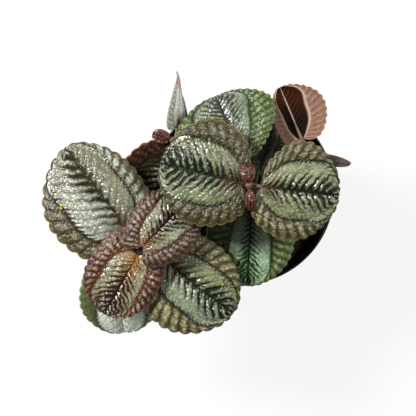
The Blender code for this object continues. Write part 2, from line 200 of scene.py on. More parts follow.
# %% The layout of the leaves
LEAVES = [
    # the front stem: its bud of two young leaves, its top pair and second pair, and old leaves in the shade
    Leaf("bud_north", "front", 145.5, (97, 24, 0), (2.2, 3.6, 0), (9.5, 4.6, 4.6), (80, 0, -50, -50), "bud"),
    Leaf("bud_south", "front", 145.5, (-86, 8, 0), (2.6, 3.6, 0), (9, 2.6, 2.6), (50, 16, -50, -50), "bud"),
    Leaf("front_west", "front", 142, (166, 4, 0), (1.5, 2, 0), (44, 27, 29), (26, 8, -22, -22), "tipped",
         lobes=(0.5, 0.3)),
    Leaf("front_east", "front", 142, (-6.5, 4, 0), (4, 2, 0), (41.6, 26, 26), (26, 8, -22, -20), "bronze",
         lobes=(0.1, 0.4), peaks=(0.5, 0.44)),
    Leaf("front_north", "front", 127, (113, 4, 0), (11, 2, -8), (41.2, 32, 27.5), (44, 8, -22, -22), "green",
         lobes=(0.5, 0.3), peaks=(0.48, 0.6)),
    Leaf("front_south", "front", 111, (-93, 2, 0), (7, 3, 0), (45, 24, 24), (24, 8, -22, -22), "deep"),
    Leaf("front_low_west", "front", 99, (180, -2, 0), (8, 3, 0), (28, 14, 14), (26, 8, -20, -20), "green"),
    Leaf("front_low_east", "front", 97, (-40, -2, 0), (9, 3, 0), (26, 13, 13), (26, 8, -20, -20), "green"),
    Leaf("front_low_north", "front", 88, (72, 8, 0), (9, 3, 0), (28, 15, 11), (26, 8, -20, -20), "green"),
    # the left stem: its young top pair, its big second pair, the low leaf beyond the rim, one in the shade
    Leaf("left_northeast", "left", 131.5, (47, 3, 0), (0.6, 4.5, 0), (36, 17.5, 19), (30, 10, -24, -24),
         "ruddy", lobes=(0.9, 0.9), peaks=(0.52, 0.52)),
    Leaf("left_southwest", "left", 129, (-120, 0, 0), (1.1, 3, 0), (37.5, 18.5, 21.5), (28, 10, -24, -24),
         "red", lobes=(1.1, 1)),
    Leaf("left_northwest", "left", 121, (127, 6, 0), (7, 3, 12), (60, 32.6, 23), (24, 8, -16, -34), "broad"),
    Leaf("left_southeast", "left", 120, (-38, 4, 0), (8, 2, 0), (50.5, 24.2, 29), (24, 8, -22, -22), "low"),
    Leaf("left_low", "left", 109, (-85, -4, 0), (26.4, 2, -58.5), (44, 22.5, 21.8), (50, 8, -20, -20),
         "pale"),
    Leaf("left_shade", "left", 98, (-90, 0, 0), (8, 3, 0), (26, 13, 13), (26, 8, -20, -20), "green"),
    # the back stem: its young pair, its top pair, and a small leaf behind them
    Leaf("back_young_west", "back", 118.5, (162, 20, 0), (1.9, 3, 0), (8.4, 4, 4), (50, 9, -50, -50), "bud"),
    Leaf("back_young_east", "back", 116.5, (46, 14, 0), (2.4, 3, 0), (6, 3, 3), (70, 10, -50, -50), "bud"),
    Leaf("back_north", "back", 115, (87, -6, 52), (5.8, 2, -6), (31, 12.5, 6.5), (10, 14, -20, -20),
         "frosted", twist=34, lobes=(0.2, 0.2), peaks=(0.24, 0.24)),
    Leaf("back_inner", "back", 100, (97, 0, 78), (15, 3, 3), (18, 5, 5), (10, 14, -20, -20), "green"),
    Leaf("back_south", "back", 113, (-117, -14, 0), (6, 2, 14), (42, 20, 25.5), (24, 8, -20, 30), "painted_shade"),
    # the right stem: its top pair, and one in the shade
    Leaf("right_north", "right", 111, (114, 6, 180), (4, 2, 0), (30.5, 19.6, 10.5), (10, 8, -30, -30), "pink",
         peaks=(0.5, 0.42)),
    Leaf("right_east", "right", 109, (-16, 4, 74), (4, 2, -15), (20, 9, 9), (12, 10, -24, -24), "pink"),
    Leaf("right_shade", "right", 97, (-35, 0, 0), (6, 3, 0), (20, 11, 11), (26, 8, -20, -20), "green"),
]
print("stems:", len(STEMS), "leaves:", len(LEAVES))

# %% [markdown]
# ## Where a leaf sits on its stem
#
# A leaf's stalk leaves the stem at a height. The stem's centreline is the same smooth curve as in the
# solid model, so its centre, radius and direction at that height give the leaf's place. Moving each leaf
# by hand would work too, but a stalk has to end right at the stem's skin, and this way all of them do.

# %% Where a leaf sits on its stem
def stem_rod(name, steps=4):
    """The stem's centreline and its radius at each point of it."""
    points, foot, tip = STEMS[name]
    line = through([Vector(p) * MM for p in points], steps)
    radii = [(foot + (tip - foot) * i / (len(line) - 1)) * MM for i in range(len(line))]
    return line, radii


def stem_at(name, height):
    """The stem's centre, radius and direction at a height."""
    line, radii = stem_rod(name)
    for i, (a, b) in enumerate(zip(line, line[1:])):
        if a.z <= height <= b.z:
            return a.lerp(b, (height - a.z) / (b.z - a.z)), radii[i], (b - a).normalized()
    return line[-1], radii[-1], (line[-1] - line[-2]).normalized()


def stalk_start(leaf):
    """The stalk's foot and its first bow, in the leaf's own axes."""
    foot = leaf.foot
    return foot, Vector((foot.x * 0.5, foot.y * 0.5, foot.z * 0.35))


GAP = 0.3 * MM  # between the skin of a stem and the foot of a stalk
STALK_RADIUS = 1.1 * MM
FOOT_FLARE = 1.15  # how much thicker than that a stalk is where it meets the stem


def leaf_matrix(leaf):
    """The leaf's place in the world, with the foot of its stalk just clear of the stem's skin."""
    turn = leaf.turn.to_matrix()
    centre, radius, rise = stem_at(leaf.stem, leaf.height)
    foot, bow = stalk_start(leaf)
    aim = turn @ (bow - foot).normalized()
    foot = turn @ foot
    out = Vector((-foot.x, -foot.y, 0))
    out = (out - out.dot(rise) * rise).normalized()
    reach = STALK_RADIUS * leaf.slim * FOOT_FLARE * math.sqrt(max(1 - aim.dot(out) ** 2, 0))
    place = centre + out * (radius + GAP + reach) - foot
    return Matrix.Translation(place) @ turn.to_4x4()


for leaf in LEAVES[2:4]:
    print(leaf.name, "starts at", [round(x / MM) for x in leaf_matrix(leaf).translation], "mm")

# %% [markdown]
# ## The outline with its scallops
#
# The blade is nearly round, with small rounded teeth along its margin, which gardeners call scalloped or
# crenate. The flat outline comes first: each point has a share s of the length and a share t of the half
# width. The teeth could be cut out with a Boolean. Instead they push the margin out along its own normal,
# so that they also run round the tip and the blade stays one clean grid.

# %% The outline with its scallops
BLADE_END = 0.8 * MM  # half the width of the blade's blunt ends
TOOTH = 0.05  # how far a tooth stands out, as a share of the half width


def half_width(s, half, skew):
    """The half width at a share s of the length: a leaf that is round at both ends."""
    inside = np.clip(s, 1e-9, 1 - 1e-9)
    return BLADE_END + (half - BLADE_END) * np.sin(math.pi * inside**skew) ** 0.6 * ((s > 0) & (s < 1))


def flat_blade(leaf, teeth, s, t):
    """Flat (along, across) places of a grid of (s, t), and each point's phase along the teeth."""
    half = np.where(t > 0, *leaf.halves)
    width = half_width(s, half, np.where(t > 0, *leaf.skews))
    back = np.where(t > 0, *leaf.lobes) * leaf.length * width / half * (1 - s) ** 4
    along, across = s * leaf.length - back * t * t, np.abs(t) * width
    rim_x, rim_y = s * leaf.length - back, width
    dx, dy = np.gradient(rim_x, axis=0), np.gradient(rim_y, axis=0)
    step = np.hypot(dx, dy) + 1e-12
    run = np.cumsum(step, axis=0) - step[:1]
    phase = teeth * run / run[-1:]
    tooth = TOOTH * half * (humps(phase) ** 0.7 - 0.5) * smoothstep(0.02, 0.12, s)
    pull = smoothstep(0.8, 1, np.abs(t))
    along = along - pull * tooth * dy / step
    across = across + pull * tooth * dx / step
    return along, across, width, half, phase


widest = max(half for leaf in LEAVES for half in leaf.halves)
print("the highest teeth stand out by", round(TOOTH * widest / MM, 1), "mm")

# %% [markdown]
# ## Where the veins run
#
# Three main veins run from base to tip: the midrib, and one on each side that drifts out towards the
# margin. Cross veins run forward from the midrib to the side vein, and from there to the notches between
# the teeth. They could be drawn as curves and pressed into the blade. Here each point is told how far it
# lies between its veins, as shares from 0 to 1, because relief and colour can both be made from those.

# %% Where the veins run
RUNG_LEAN = 0.26  # how far forward a cross vein has moved by the side vein, as a share of the length
MIDRIB_WIDTH, SIDE_VEIN_WIDTH = 0.02, 0.034  # as shares of the half width
HALF_APART = 40  # keeps the numbers of one half's puffs away from those of the other half's


def own_value(number, seed):
    """A value of 0 to 1 that looks random, but is always the same for the same whole number."""
    return np.mod(np.sin(number * 12.99 + seed * 7.1) * 4375.85, 1)


class Quilt:
    """Where each point of a blade lies between its veins, as arrays over the grid."""

    def __init__(self, look, s, t, phase, seed):
        a, side = np.abs(t), np.sign(t)
        self.s, self.a, self.is_right = s, a, (t < 0) * 1.0
        # the side vein starts a little nearer the midrib, and drifts out towards the margin by the tip
        vein = self.two(look["side"]) + 0.02 * wander(s * 3, side, seed) + 0.3 * smoothstep(0.5, 0.98, s)
        vein = np.clip(vein - 0.1 * (1 - smoothstep(0, 0.3, s)), 0, 0.96)
        self.inner = np.clip(a / vein, 0, 1)
        self.outer = np.clip((a - vein) / (1 - vein), 0, 1)
        self.is_outer = smoothstep(-0.012, 0.012, a - vein)
        # rung counts the cross veins from the base; a valley lies at each whole number
        slow, quick = wander(s * 6, t * 3, seed + 1), wander(s * 20, t * 9, seed + 4)
        shake = look["shake"] * (0.22 * slow + 0.12 * quick)
        rung = look["rungs"] * (s - RUNG_LEAN * self.inner**1.4) + np.where(side > 0, 0.5, 0) + shake
        # tooth does the same beyond the side vein, where the valleys end in the notches of the margin
        lean = (look["lean"] + 0.22 * wander(s * 16, t * 6, seed + 2)) * (1 - self.outer)
        tooth = phase + lean
        self.own_tooth = own_value(np.floor(tooth) + HALF_APART * (side > 0), seed + 5)
        self.own = own_value(np.round(rung) + HALF_APART * (side > 0), seed)
        # towards the side vein each inner puff forks in two
        arch = humps(rung)
        self.twigs = humps(2 * rung)
        fork = 0.55 * smoothstep(0.45, 0.75, self.inner)
        self.ridge_in = arch * (1 - fork) + fork * np.sqrt(arch) * self.twigs
        self.ridge_out = humps(tooth)
        self.ridge = self.ridge_in * (1 - self.is_outer) + self.ridge_out * self.is_outer
        self.midrib = bell(0, MIDRIB_WIDTH, a)
        self.side_vein = bell(0, SIDE_VEIN_WIDTH, a - vein)
        # along its length a puff is broken up into beads, out of step with those of its neighbours
        tears = 0.35 * wander(s * 12, t * 9, seed + 3)
        self.beads = humps(self.inner * look["beads"] + 0.37 * np.floor(rung) + tears)
        self.outer_beads = humps(self.outer * look["beads"] * 0.6 + 0.37 * np.floor(tooth) + tears)

    def two(self, pair):
        """A value for the left half of the blade and one for the right half."""
        return pair[0] * (1 - self.is_right) + pair[1] * self.is_right


print("three neighbouring puffs have the values", np.round(own_value(np.arange(3), 1), 2))

# %% [markdown]
# ## From flat to bent
#
# A living blade is never flat. The midrib bends down towards the tip, each half folds up a little at the
# midrib and turns down again towards its margin. Modifiers could bend a flat mesh, one after another.
# Arcs do it all in one function, just as the solid was bent: going a distance along an arc gives a run
# and a rise.

# %% From flat to bent
SIDE_VEIN = 0.62  # where the blade's swell dips, near its side veins, as a share of the half width
SWELL = 0.035  # how high the blade swells between its veins, as a share of the half width
OUTER_SWELL = 0.7  # the outer panel's swell, as a share of the inner one's
MARGIN_WAVE = 0.01  # how far the margin waves up and down, as a share of the length


def arc(length, start, turn, whole):
    """(run, rise) after a length on an arc that starts at an angle and turns by turn over whole."""
    rate = turn / whole
    end = start + rate * length
    return (np.sin(end) - np.sin(start)) / rate, (np.cos(start) - np.cos(end)) / rate


def bent_blade(leaf, teeth, s, t, seed):
    """The blade's middle surface as a grid of points, and its phase along the teeth."""
    along, across, width, half, phase = flat_blade(leaf, teeth, s, t)
    cup = np.where(t > 0, *leaf.cups)
    side, up = arc(across, leaf.fold, cup, half)
    a = np.abs(t)
    inner, outer = np.minimum(a / SIDE_VEIN, 1), np.maximum(a - SIDE_VEIN, 0) / (1 - SIDE_VEIN)
    up = up + SWELL * width * (np.sin(math.pi * inner) + OUTER_SWELL * np.sin(math.pi * outer))
    up = up + MARGIN_WAVE * leaf.length * a * a * wander(s * 2, t * 1.5, seed)
    side = np.sign(t) * side
    roll = leaf.twist * s
    side, up = side * np.cos(roll) - up * np.sin(roll), side * np.sin(roll) + up * np.cos(roll)
    run, rise = arc(along, 0, -leaf.bend, leaf.length)
    heading = -leaf.bend * along / leaf.length
    return np.stack([run - up * np.sin(heading), side, rise + up * np.cos(heading)], axis=-1), phase


def normals_of(points):
    """Unit normals of a grid of points."""
    across = np.cross(np.gradient(points, axis=0), np.gradient(points, axis=1))
    return across / (np.linalg.norm(across, axis=-1, keepdims=True) + 1e-15)


run, rise = arc(40, 0, -math.radians(30), 40)
print("a 40 mm midrib bent by 30 degrees reaches", round(run, 1), "mm out,", round(-rise, 1), "mm down")

# %% [markdown]
# ## Tubes
#
# A stalk or a stem is a tube along a line: a ring of points round each place on the line, bridged to the
# next ring. The rings turn with the line, so that the tube never pinches. A Blender curve with a bevel
# makes tubes too, but rings can also carry ribs and swellings, and can be part of a leaf's own mesh.

# %% Tubes
def rings(line, radii, sides, shape=None):
    """Rings of points round a line. shape(i, angles) may scale the radius."""
    angles = np.arange(sides) * 2 * math.pi / sides
    side = None
    grid = []
    for i, place in enumerate(line):
        ahead = (line[min(i + 1, len(line) - 1)] - line[max(i - 1, 0)]).normalized()
        if side is None:
            side = ahead.orthogonal()
        side = (side - side.dot(ahead) * ahead).normalized()
        other = ahead.cross(side)
        reach = radii[i] * (np.ones(sides) if shape is None else shape(i, angles))
        aside, aloft = reach * np.cos(angles), reach * np.sin(angles)
        grid.append(np.array(place) + np.outer(aside, side) + np.outer(aloft, other))
    return np.array(grid)


def tube_faces(count, sides, first):
    """Quads that bridge the rings, and one polygon at each end."""
    faces = []
    for i in range(count - 1):
        for j in range(sides):
            k = (j + 1) % sides
            a, b = first + i * sides, first + (i + 1) * sides
            faces.append((a + j, a + k, b + k, b + j))
    faces.append(tuple(first + j for j in reversed(range(sides))))
    faces.append(tuple(first + (count - 1) * sides + j for j in range(sides)))
    return faces


print("a tube of 5 rings with 8 sides has", len(tube_faces(5, 8, 0)), "faces")

# %% [markdown]
# ## What a look holds
#
# Leaves of one plant differ with their age and with the light they get. Each could have a painted texture
# of its own. A look is quicker to change: it is a handful of colours and a few numbers. PLAIN holds what
# most looks share, and variant changes some of it. Pairs are for the left and the right half of the
# blade, but for reach and reach_right, whose pairs are for the base and the tip. Colours are linear.
#
# - The veins: rungs and teeth count the cross veins and scallops of one half, side says where its side
#   vein runs, shake how far the cross veins wander, and lean how far they slant beyond the side vein.
# - The quilting: puff is its height in millimetres, outer_high the share of it beyond the side vein, bead
#   how strongly a puff breaks up into beads, beads how many it has, and calm how smooth an inner panel
#   is.
# - The silver: reach says how far the dark zone spreads from the midrib, finger how far it runs out along
#   the cross veins, crest how far silver keeps to the tops, even how little painted shade darkens it between
#   them, shade how strong its painted shade is, and wash how far it fades towards the tip.
# - The rest: frost lays frosting on the puffs of an outer panel, speck adds small lime spots, end_share
#   tints the tip, and gloss is the roughness of the wax.
# - The colours: pale and pale_right are the silver's, frosting is the one laid on the outer puffs, and
#   dark, tip, mid and the streak colour are the tissue's in its valleys, by the tip, on its ridges and in its
#   streaks. The ridges are painted lighter and the valleys darker as painted light and shade, and the
#   streaks are painted highlights. The others are called by their places on the leaf.

# %% What a look holds
PLAIN = dict(
    rungs=11, teeth=14, side=(0.62, 0.62), shake=0.8, puff=1.8, bead=0.55, beads=5, outer_high=0.55,
    lean=1.1, even=0.75, wash=0.0, reach=(0.02, 0.15), reach_right=(0.02, 0.15), finger=0.46, crest=0.1,
    calm=(0, 0), frost=(0.6, 0.6), gloss=0.17, end_share=0.0, speck=0.0, shade=1.0,
    mid=(0.06, 0.07, 0.035), streak=(0.5, 0.53, 0.43), pale=(0.27, 0.3, 0.165),
    pale_right=(0.27, 0.3, 0.165), frosting=(0.36, 0.36, 0.2), dark=(0.008, 0.014, 0.004),
    tip=(0.01, 0.018, 0.006), vein=(0.016, 0.01, 0.003), outer=(0.055, 0.047, 0.012),
    outer_puff=(0.38, 0.36, 0.16), edge=(0.17, 0.125, 0.055), glow=(0.06, 0.035, 0.015),
    end=(0.1, 0.05, 0.03), under=(0.13, 0.05, 0.04), under_tip=(0.13, 0.05, 0.04),
    under_outer=(0.17, 0.08, 0.055), under_vein=(0.3, 0.16, 0.12),
)


def variant(base, **changes):
    """A look like another one but for some values. The right half follows the left by default."""
    for key in ("reach", "pale"):
        if key in changes:
            changes.setdefault(key + "_right", changes[key])
    return {**base, **changes}


print("a look holds", len(PLAIN), "values")

# %% [markdown]
# ## The looks of this plant
#
# Mature leaves are bronze, with two bands of silver. The low ones are greener, and the young ones red.
# The folded buds are a deep red, and two leaves are nearly white. Each look could be written out in full,
# but here it only says where it differs, so what makes a leaf special can be read at a glance.

# %% The looks of this plant
LOOKS = {
    "bronze": PLAIN,
    "tipped": variant(
        PLAIN,
        reach=(0.03, 0.2), reach_right=(0.03, 0.45), finger=0.5, frost=(0.4, 0.4),
        pale=(0.23, 0.255, 0.145), frosting=(0.16, 0.16, 0.075), outer=(0.045, 0.036, 0.008),
        outer_puff=(0.13, 0.115, 0.035),
    ),
    "broad": variant(
        PLAIN,
        side=(0.68, 0.6), puff=1.2, reach=(0.02, 0.3), reach_right=(0.03, 0.08), finger=0.13,
        calm=(0.1, 0.85), frost=(0.3, 1.0), even=0.0, wash=0.45, speck=0.5,
        # painted light and shade: the left half's silver is painted far paler than the right's, as lit and
        # shaded
        pale=(0.47, 0.5, 0.42), pale_right=(0.24, 0.25, 0.15), frosting=(0.5, 0.6, 0.52),
        mid=(0.13, 0.11, 0.07), tip=(0.05, 0.04, 0.02), outer=(0.06, 0.045, 0.013),
        outer_puff=(0.15, 0.115, 0.045),
    ),
    "low": variant(
        PLAIN,
        side=(0.56, 0.56), reach=(0.02, 0.25), reach_right=(0.02, 0.2), finger=0.4, frost=(0.3, 0.6),
        calm=(0.35, 0.1), speck=0.6,
        pale=(0.22, 0.25, 0.13), pale_right=(0.32, 0.37, 0.25), outer=(0.09, 0.075, 0.022),
        outer_puff=(0.56, 0.55, 0.3),
    ),
    "green": variant(
        PLAIN,
        rungs=15, teeth=18, side=(0.5, 0.47), puff=1.3, reach=(0.1, 0.35), reach_right=(0.1, 0.4),
        finger=0.4, frost=(0.2, 0.5), calm=(0.5, 0.5), outer_high=0.4, shake=1.4,
        pale=(0.27, 0.31, 0.215), pale_right=(0.25, 0.3, 0.21), frosting=(0.38, 0.47, 0.24),
        mid=(0.1, 0.14, 0.07), dark=(0.012, 0.024, 0.009), tip=(0.045, 0.062, 0.042),
        vein=(0.008, 0.016, 0.004), outer=(0.04, 0.07, 0.014), outer_puff=(0.29, 0.38, 0.14),
        edge=(0.15, 0.18, 0.06), glow=(0.03, 0.045, 0.02), under=(0.1, 0.08, 0.05),
        under_outer=(0.13, 0.13, 0.07),
    ),
    "deep": variant(
        PLAIN,
        rungs=15, teeth=17, side=(0.5, 0.48), puff=1.2, reach=(0.0, 0.25), reach_right=(0.1, 0.4),
        finger=0.3, calm=(0.3, 0.3), outer_high=0.45, shake=1.7,
        mid=(0.16, 0.3, 0.13), pale=(0.45, 0.62, 0.4), pale_right=(0.33, 0.52, 0.27),
        frosting=(0.42, 0.5, 0.28), dark=(0.014, 0.045, 0.012), tip=(0.018, 0.055, 0.016),
        vein=(0.004, 0.012, 0.002), streak=(0.4, 0.58, 0.34), outer=(0.05, 0.08, 0.016),
        outer_puff=(0.2, 0.26, 0.09), edge=(0.2, 0.25, 0.09), glow=(0.01, 0.02, 0.008),
        under=(0.08, 0.06, 0.04), under_outer=(0.1, 0.09, 0.05),
    ),
    "pale": variant(
        PLAIN,
        rungs=9, puff=0.7, reach=(-0.2, -0.2), finger=0.1, calm=(0.85, 0.85), frost=(1.0, 0.0), shade=0.1,
        mid=(0.4, 0.45, 0.3), pale=(0.86, 0.98, 0.76), pale_right=(0.84, 0.96, 0.76),
        frosting=(0.7, 0.84, 0.82), dark=(0.1, 0.12, 0.07), tip=(0.1, 0.12, 0.07), vein=(0.04, 0.05, 0.02),
        outer=(0.08, 0.11, 0.03), outer_puff=(0.14, 0.18, 0.06), edge=(0.3, 0.32, 0.2),
        glow=(0.1, 0.09, 0.06), under=(0.2, 0.2, 0.17),
    ),
    "frosted": variant(
        PLAIN,
        rungs=13, puff=0.6, shade=0.3, calm=(0.7, 0.7), reach=(-0.2, 0.0), frost=(1.0, 1.0), end_share=1.0,
        mid=(0.6, 0.6, 0.5), pale=(0.95, 0.97, 0.88), frosting=(0.9, 0.92, 0.82), dark=(0.3, 0.3, 0.25),
        tip=(0.3, 0.28, 0.22), vein=(0.3, 0.3, 0.25), edge=(0.45, 0.3, 0.2), outer=(0.4, 0.42, 0.34),
        outer_puff=(0.7, 0.72, 0.64), end=(0.36, 0.2, 0.14), under=(0.2, 0.14, 0.1),
        under_outer=(0.3, 0.2, 0.15),
    ),
    "red": variant(
        PLAIN,
        rungs=12, teeth=17, side=(0.6, 0.6), puff=1.35, bead=0.85, beads=4, outer_high=0.6, lean=1.5,
        shake=1.3, reach=(0.08, 0.4), reach_right=(0.08, 0.45), finger=0.52, crest=0.3,
        pale=(0.36, 0.35, 0.22), pale_right=(0.37, 0.37, 0.24), frosting=(0.62, 0.5, 0.38),
        mid=(0.15, 0.07, 0.035), streak=(0.6, 0.58, 0.46), dark=(0.06, 0.014, 0.004),
        tip=(0.012, 0.011, 0.005), vein=(0.075, 0.015, 0.004), outer=(0.05, 0.011, 0.003),
        outer_puff=(0.2, 0.085, 0.032), edge=(0.14, 0.055, 0.02), glow=(0.27, 0.115, 0.02),
        under=(0.2, 0.07, 0.05), under_outer=(0.2, 0.08, 0.06),
    ),
    "bud": variant(
        PLAIN,
        rungs=5, teeth=8, shake=3.0, puff=1.5, bead=0.95, beads=3.2, reach=(-0.2, -0.2), finger=0.1,
        crest=1.0, frost=(1.0, 1.0),
        pale=(0.13, 0.04, 0.025), frosting=(0.3, 0.13, 0.09), mid=(0.03, 0.007, 0.004),
        dark=(0.025, 0.005, 0.003), tip=(0.03, 0.006, 0.003), vein=(0.04, 0.008, 0.004),
        outer=(0.03, 0.006, 0.003), outer_puff=(0.1, 0.026, 0.014), edge=(0.12, 0.035, 0.018),
        glow=(0.22, 0.045, 0.016), under=(0.26, 0.07, 0.04), under_outer=(0.26, 0.07, 0.04),
    ),
    # painted shade: this leaf lies deep in the shade, so its body is painted nearly black; its outer panels
    # and margin keep their real red-brown
    "painted_shade": variant(
        PLAIN,
        puff=1.0, reach=(0.5, 1.2), finger=0.5, frost=(0.3, 0.3),
        pale=(0.05, 0.055, 0.015), frosting=(0.34, 0.13, 0.07), dark=(0.003, 0.003, 0.001),
        tip=(0.004, 0.003, 0.001), vein=(0.006, 0.004, 0.002), outer=(0.045, 0.012, 0.006),
        outer_puff=(0.14, 0.042, 0.02), edge=(0.2, 0.07, 0.03), glow=(0.02, 0.008, 0.005),
        under=(0.1, 0.03, 0.018), under_outer=(0.12, 0.035, 0.02),
    ),
    "pink": variant(
        PLAIN,
        teeth=15, side=(0.5, 0.5), puff=0.9, bead=0.15, calm=(0.2, 0.2), reach=(0.2, 0.6), end_share=0.8,
        pale=(0.25, 0.26, 0.18), dark=(0.03, 0.026, 0.015), outer=(0.09, 0.05, 0.03),
        outer_puff=(0.18, 0.12, 0.08), edge=(0.42, 0.24, 0.17), end=(0.3, 0.12, 0.08),
        # the inner underside is its real maroon, deepened to near black as painted shade from the leaf above
        under=(0.01, 0.0025, 0.001), under_tip=(0.045, 0.012, 0.003), under_outer=(0.27, 0.15, 0.105),
        under_vein=(0.66, 0.52, 0.42),
    ),
}
LOOKS["ruddy"] = variant(
    LOOKS["red"],
    glow=(0.14, 0.05, 0.018), dark=(0.03, 0.011, 0.004), vein=(0.04, 0.012, 0.004), pale=(0.3, 0.31, 0.2),
    pale_right=(0.31, 0.33, 0.22), mid=(0.1, 0.06, 0.035), outer=(0.035, 0.012, 0.004),
    outer_puff=(0.16, 0.085, 0.04),
)
print("looks:", ", ".join(LOOKS))

# %% [markdown]
# ## The quilting
#
# Every vein is a valley, and the tissue between them is raised and broken into beads, so the relief is a
# product of rounded ridges. A bump texture would be cheaper, but it casts no shadows and doesn't change
# the outline. Real height in the mesh does both, and it holds from every side.

# %% The quilting
def relief(quilt, look):
    """The height of the quilting over the veins: rounded between them, and lower by the side veins."""
    ends = smoothstep(0, 0.08, quilt.s) * smoothstep(1.0, 0.95, quilt.s)
    bead = look["bead"] * (0.3 + 0.7 * smoothstep(0.25, 0.6, quilt.inner))
    level = 1 - 0.75 * smoothstep(0.3, 0.7, quilt.inner)
    panel_in = np.sin(math.pi * quilt.inner**0.85) ** 0.5 * (1 - 0.7 * quilt.two(look["calm"])) * level
    panel_out = np.sin(math.pi * (0.04 + 0.88 * quilt.outer)) ** 0.6
    high_in = quilt.ridge_in**0.8 * (1 - bead + bead * quilt.beads**0.6) * panel_in
    high_out = quilt.ridge_out**0.55 * (1 - bead + bead * quilt.outer_beads**0.6) * panel_out
    high_out = high_out * look["outer_high"]
    high = np.where(quilt.is_outer > 0.5, high_out, high_in)
    return look["puff"] * MM * high * (0.3 + 0.7 * ends)


print("the highest quilting is", max(look["puff"] for look in LOOKS.values()), "mm")

# %% [markdown]
# ## Shares for the paint
#
# The colours of a leaf follow its relief: silver lies on the puffs, the grooves are dark, and the outer
# panels have puffs of their own. A texture could hold all that, but it would have to be fitted to every
# blade. Here the mesh keeps a few named values instead, one per point, made from the same shares as the
# relief. A material reads them with Attribute nodes.

# %% Shares for the paint
EVEN_CREST = 0.75  # how high the silver counts as lying where a look makes it even


def masks(quilt, look):
    """What the material needs to know at each point: a name and an array for each share."""
    valley = 1 - quilt.ridge_in
    # a little noise frays every border
    tear = 0.06 * wander(quilt.s * 26, quilt.a * 18, 11) + 0.05 * wander(quilt.s * 60, quilt.a * 40, 12)
    # silver starts beyond the dark zone by the midrib, whose fingers follow the valleys
    near, far = (quilt.two(ends) for ends in zip(look["reach"], look["reach_right"]))
    outward = smoothstep(0.3, 0.95, quilt.s)
    finger = look["finger"] * (0.75 + 0.6 * quilt.own) * (1 + 0.35 * outward)
    low = near + (far - near) * outward + finger * valley**0.65 + tear
    # and it ends just short of the side vein
    high = 0.97 - 0.13 * (1 - quilt.twigs) + tear / 2
    silver = smoothstep(low - 0.03, low + 0.07, quilt.inner)
    silver = silver * (1 - smoothstep(high - 0.03, high + 0.03, quilt.inner))
    # crest says how near a point is to the top of its puff, and painted highlight streaks run along the
    # highest tops, standing in for glints of light on them
    away = smoothstep(0.15, 0.65, quilt.inner)
    crest_in = quilt.ridge_in**0.6 * (0.4 + 0.6 * quilt.beads**0.5) * (0.6 + 0.4 * away)
    crest_in = crest_in + (EVEN_CREST - crest_in) * look["even"] * away
    # painted highlight: thin pale streaks along the highest ridges of the dark tissue
    streak = smoothstep(0.82, 0.97, quilt.ridge_in + tear) * smoothstep(0.1, 0.5, quilt.beads + 3 * tear)
    crest_out = quilt.ridge_out * quilt.outer_beads**0.3
    silver = silver * (1 - quilt.is_outer) * (1 - look["crest"] * (1 - smoothstep(0.2, 0.7, crest_in)))
    # the puffs beyond the side vein, and the frosting on the middle of each
    puff = smoothstep(0.35, 1.0, crest_out + tear) * quilt.is_outer
    frost = quilt.two(look["frost"])
    core = smoothstep(0.75 - 0.35 * frost, 1.05 - 0.3 * frost, crest_out + 2 * tear)
    core = core * bell(0.42, 0.3, quilt.outer) * (0.45 + 0.55 * quilt.own_tooth)
    # grooves, painted darker on the top as painted shade, are fine lines where silver is, and fainter on
    # smooth panels and by the margin
    plain = (1 - 0.6 * quilt.two(look["calm"])) * (1 - 0.55 * smoothstep(0.6, 1, quilt.outer))
    narrow = 1.1 + 1.8 * silver * away + 0.9 * quilt.is_outer
    return {
        "silver": silver,
        "streak": streak * (1 - quilt.is_outer) * smoothstep(0.05, 0.15, quilt.inner) * (1 - silver),
        "crest": crest_in * (1 - quilt.is_outer) + crest_out * quilt.is_outer,
        "right": quilt.is_right,
        "outer": quilt.is_outer,
        "puff": puff * (1 - 0.4 * smoothstep(0.7, 1, quilt.outer)) * (0.7 + 0.3 * quilt.own_tooth),
        "frost": core * frost * quilt.is_outer,
        "groove": (1 - quilt.ridge) ** narrow * (1 - 0.85 * silver * away) * plain,
        "vein": np.maximum(quilt.midrib, quilt.side_vein * 0.85),
        "edge": smoothstep(0.965, 0.985, quilt.a),
        "glow": (1 - smoothstep(0.0, 0.38, quilt.s)) * bell(0, 0.45, quilt.a),
        "tipward": smoothstep(0.25, 0.75, quilt.s),
        "end": smoothstep(0.6, 0.78, quilt.s),
    }


print("where a look makes silver even, it counts as lying", EVEN_CREST, "high")

# %% [markdown]
# ## The grid of a blade
#
# The blade is a grid of points, fine enough for its smallest beads, and coarser on leaves deep in the
# shade. A Solidify modifier could add the underside. Numbering the faces straight from the grid is just
# as short, and it says which of them are top, underside and margin.

# %% The grid of a blade
FINE, COARSE = 0.42 * MM, 0.8 * MM  # the grid's pitch, and that of the leaves deep in the shade
SHADED = {"leaf_front_low_west", "leaf_front_low_east", "leaf_left_shade", "leaf_right_shade"}
FEWEST_ROWS = 34


def blade_grid(leaf):
    """Grids of s and t: rows closer at the blade's round ends, columns even."""
    pitch = COARSE if leaf.name in SHADED else FINE
    pitch = min(pitch, leaf.length / FEWEST_ROWS)
    rows = int(leaf.length / pitch) + 1
    columns = int(sum(leaf.halves) / pitch) | 1
    s = (1 - np.cos(np.linspace(0, math.pi, rows))) / 2
    s = 0.5 * s + 0.5 * np.linspace(0, 1, rows)
    t = np.linspace(-1, 1, columns)
    return np.meshgrid(s, t, indexing="ij")


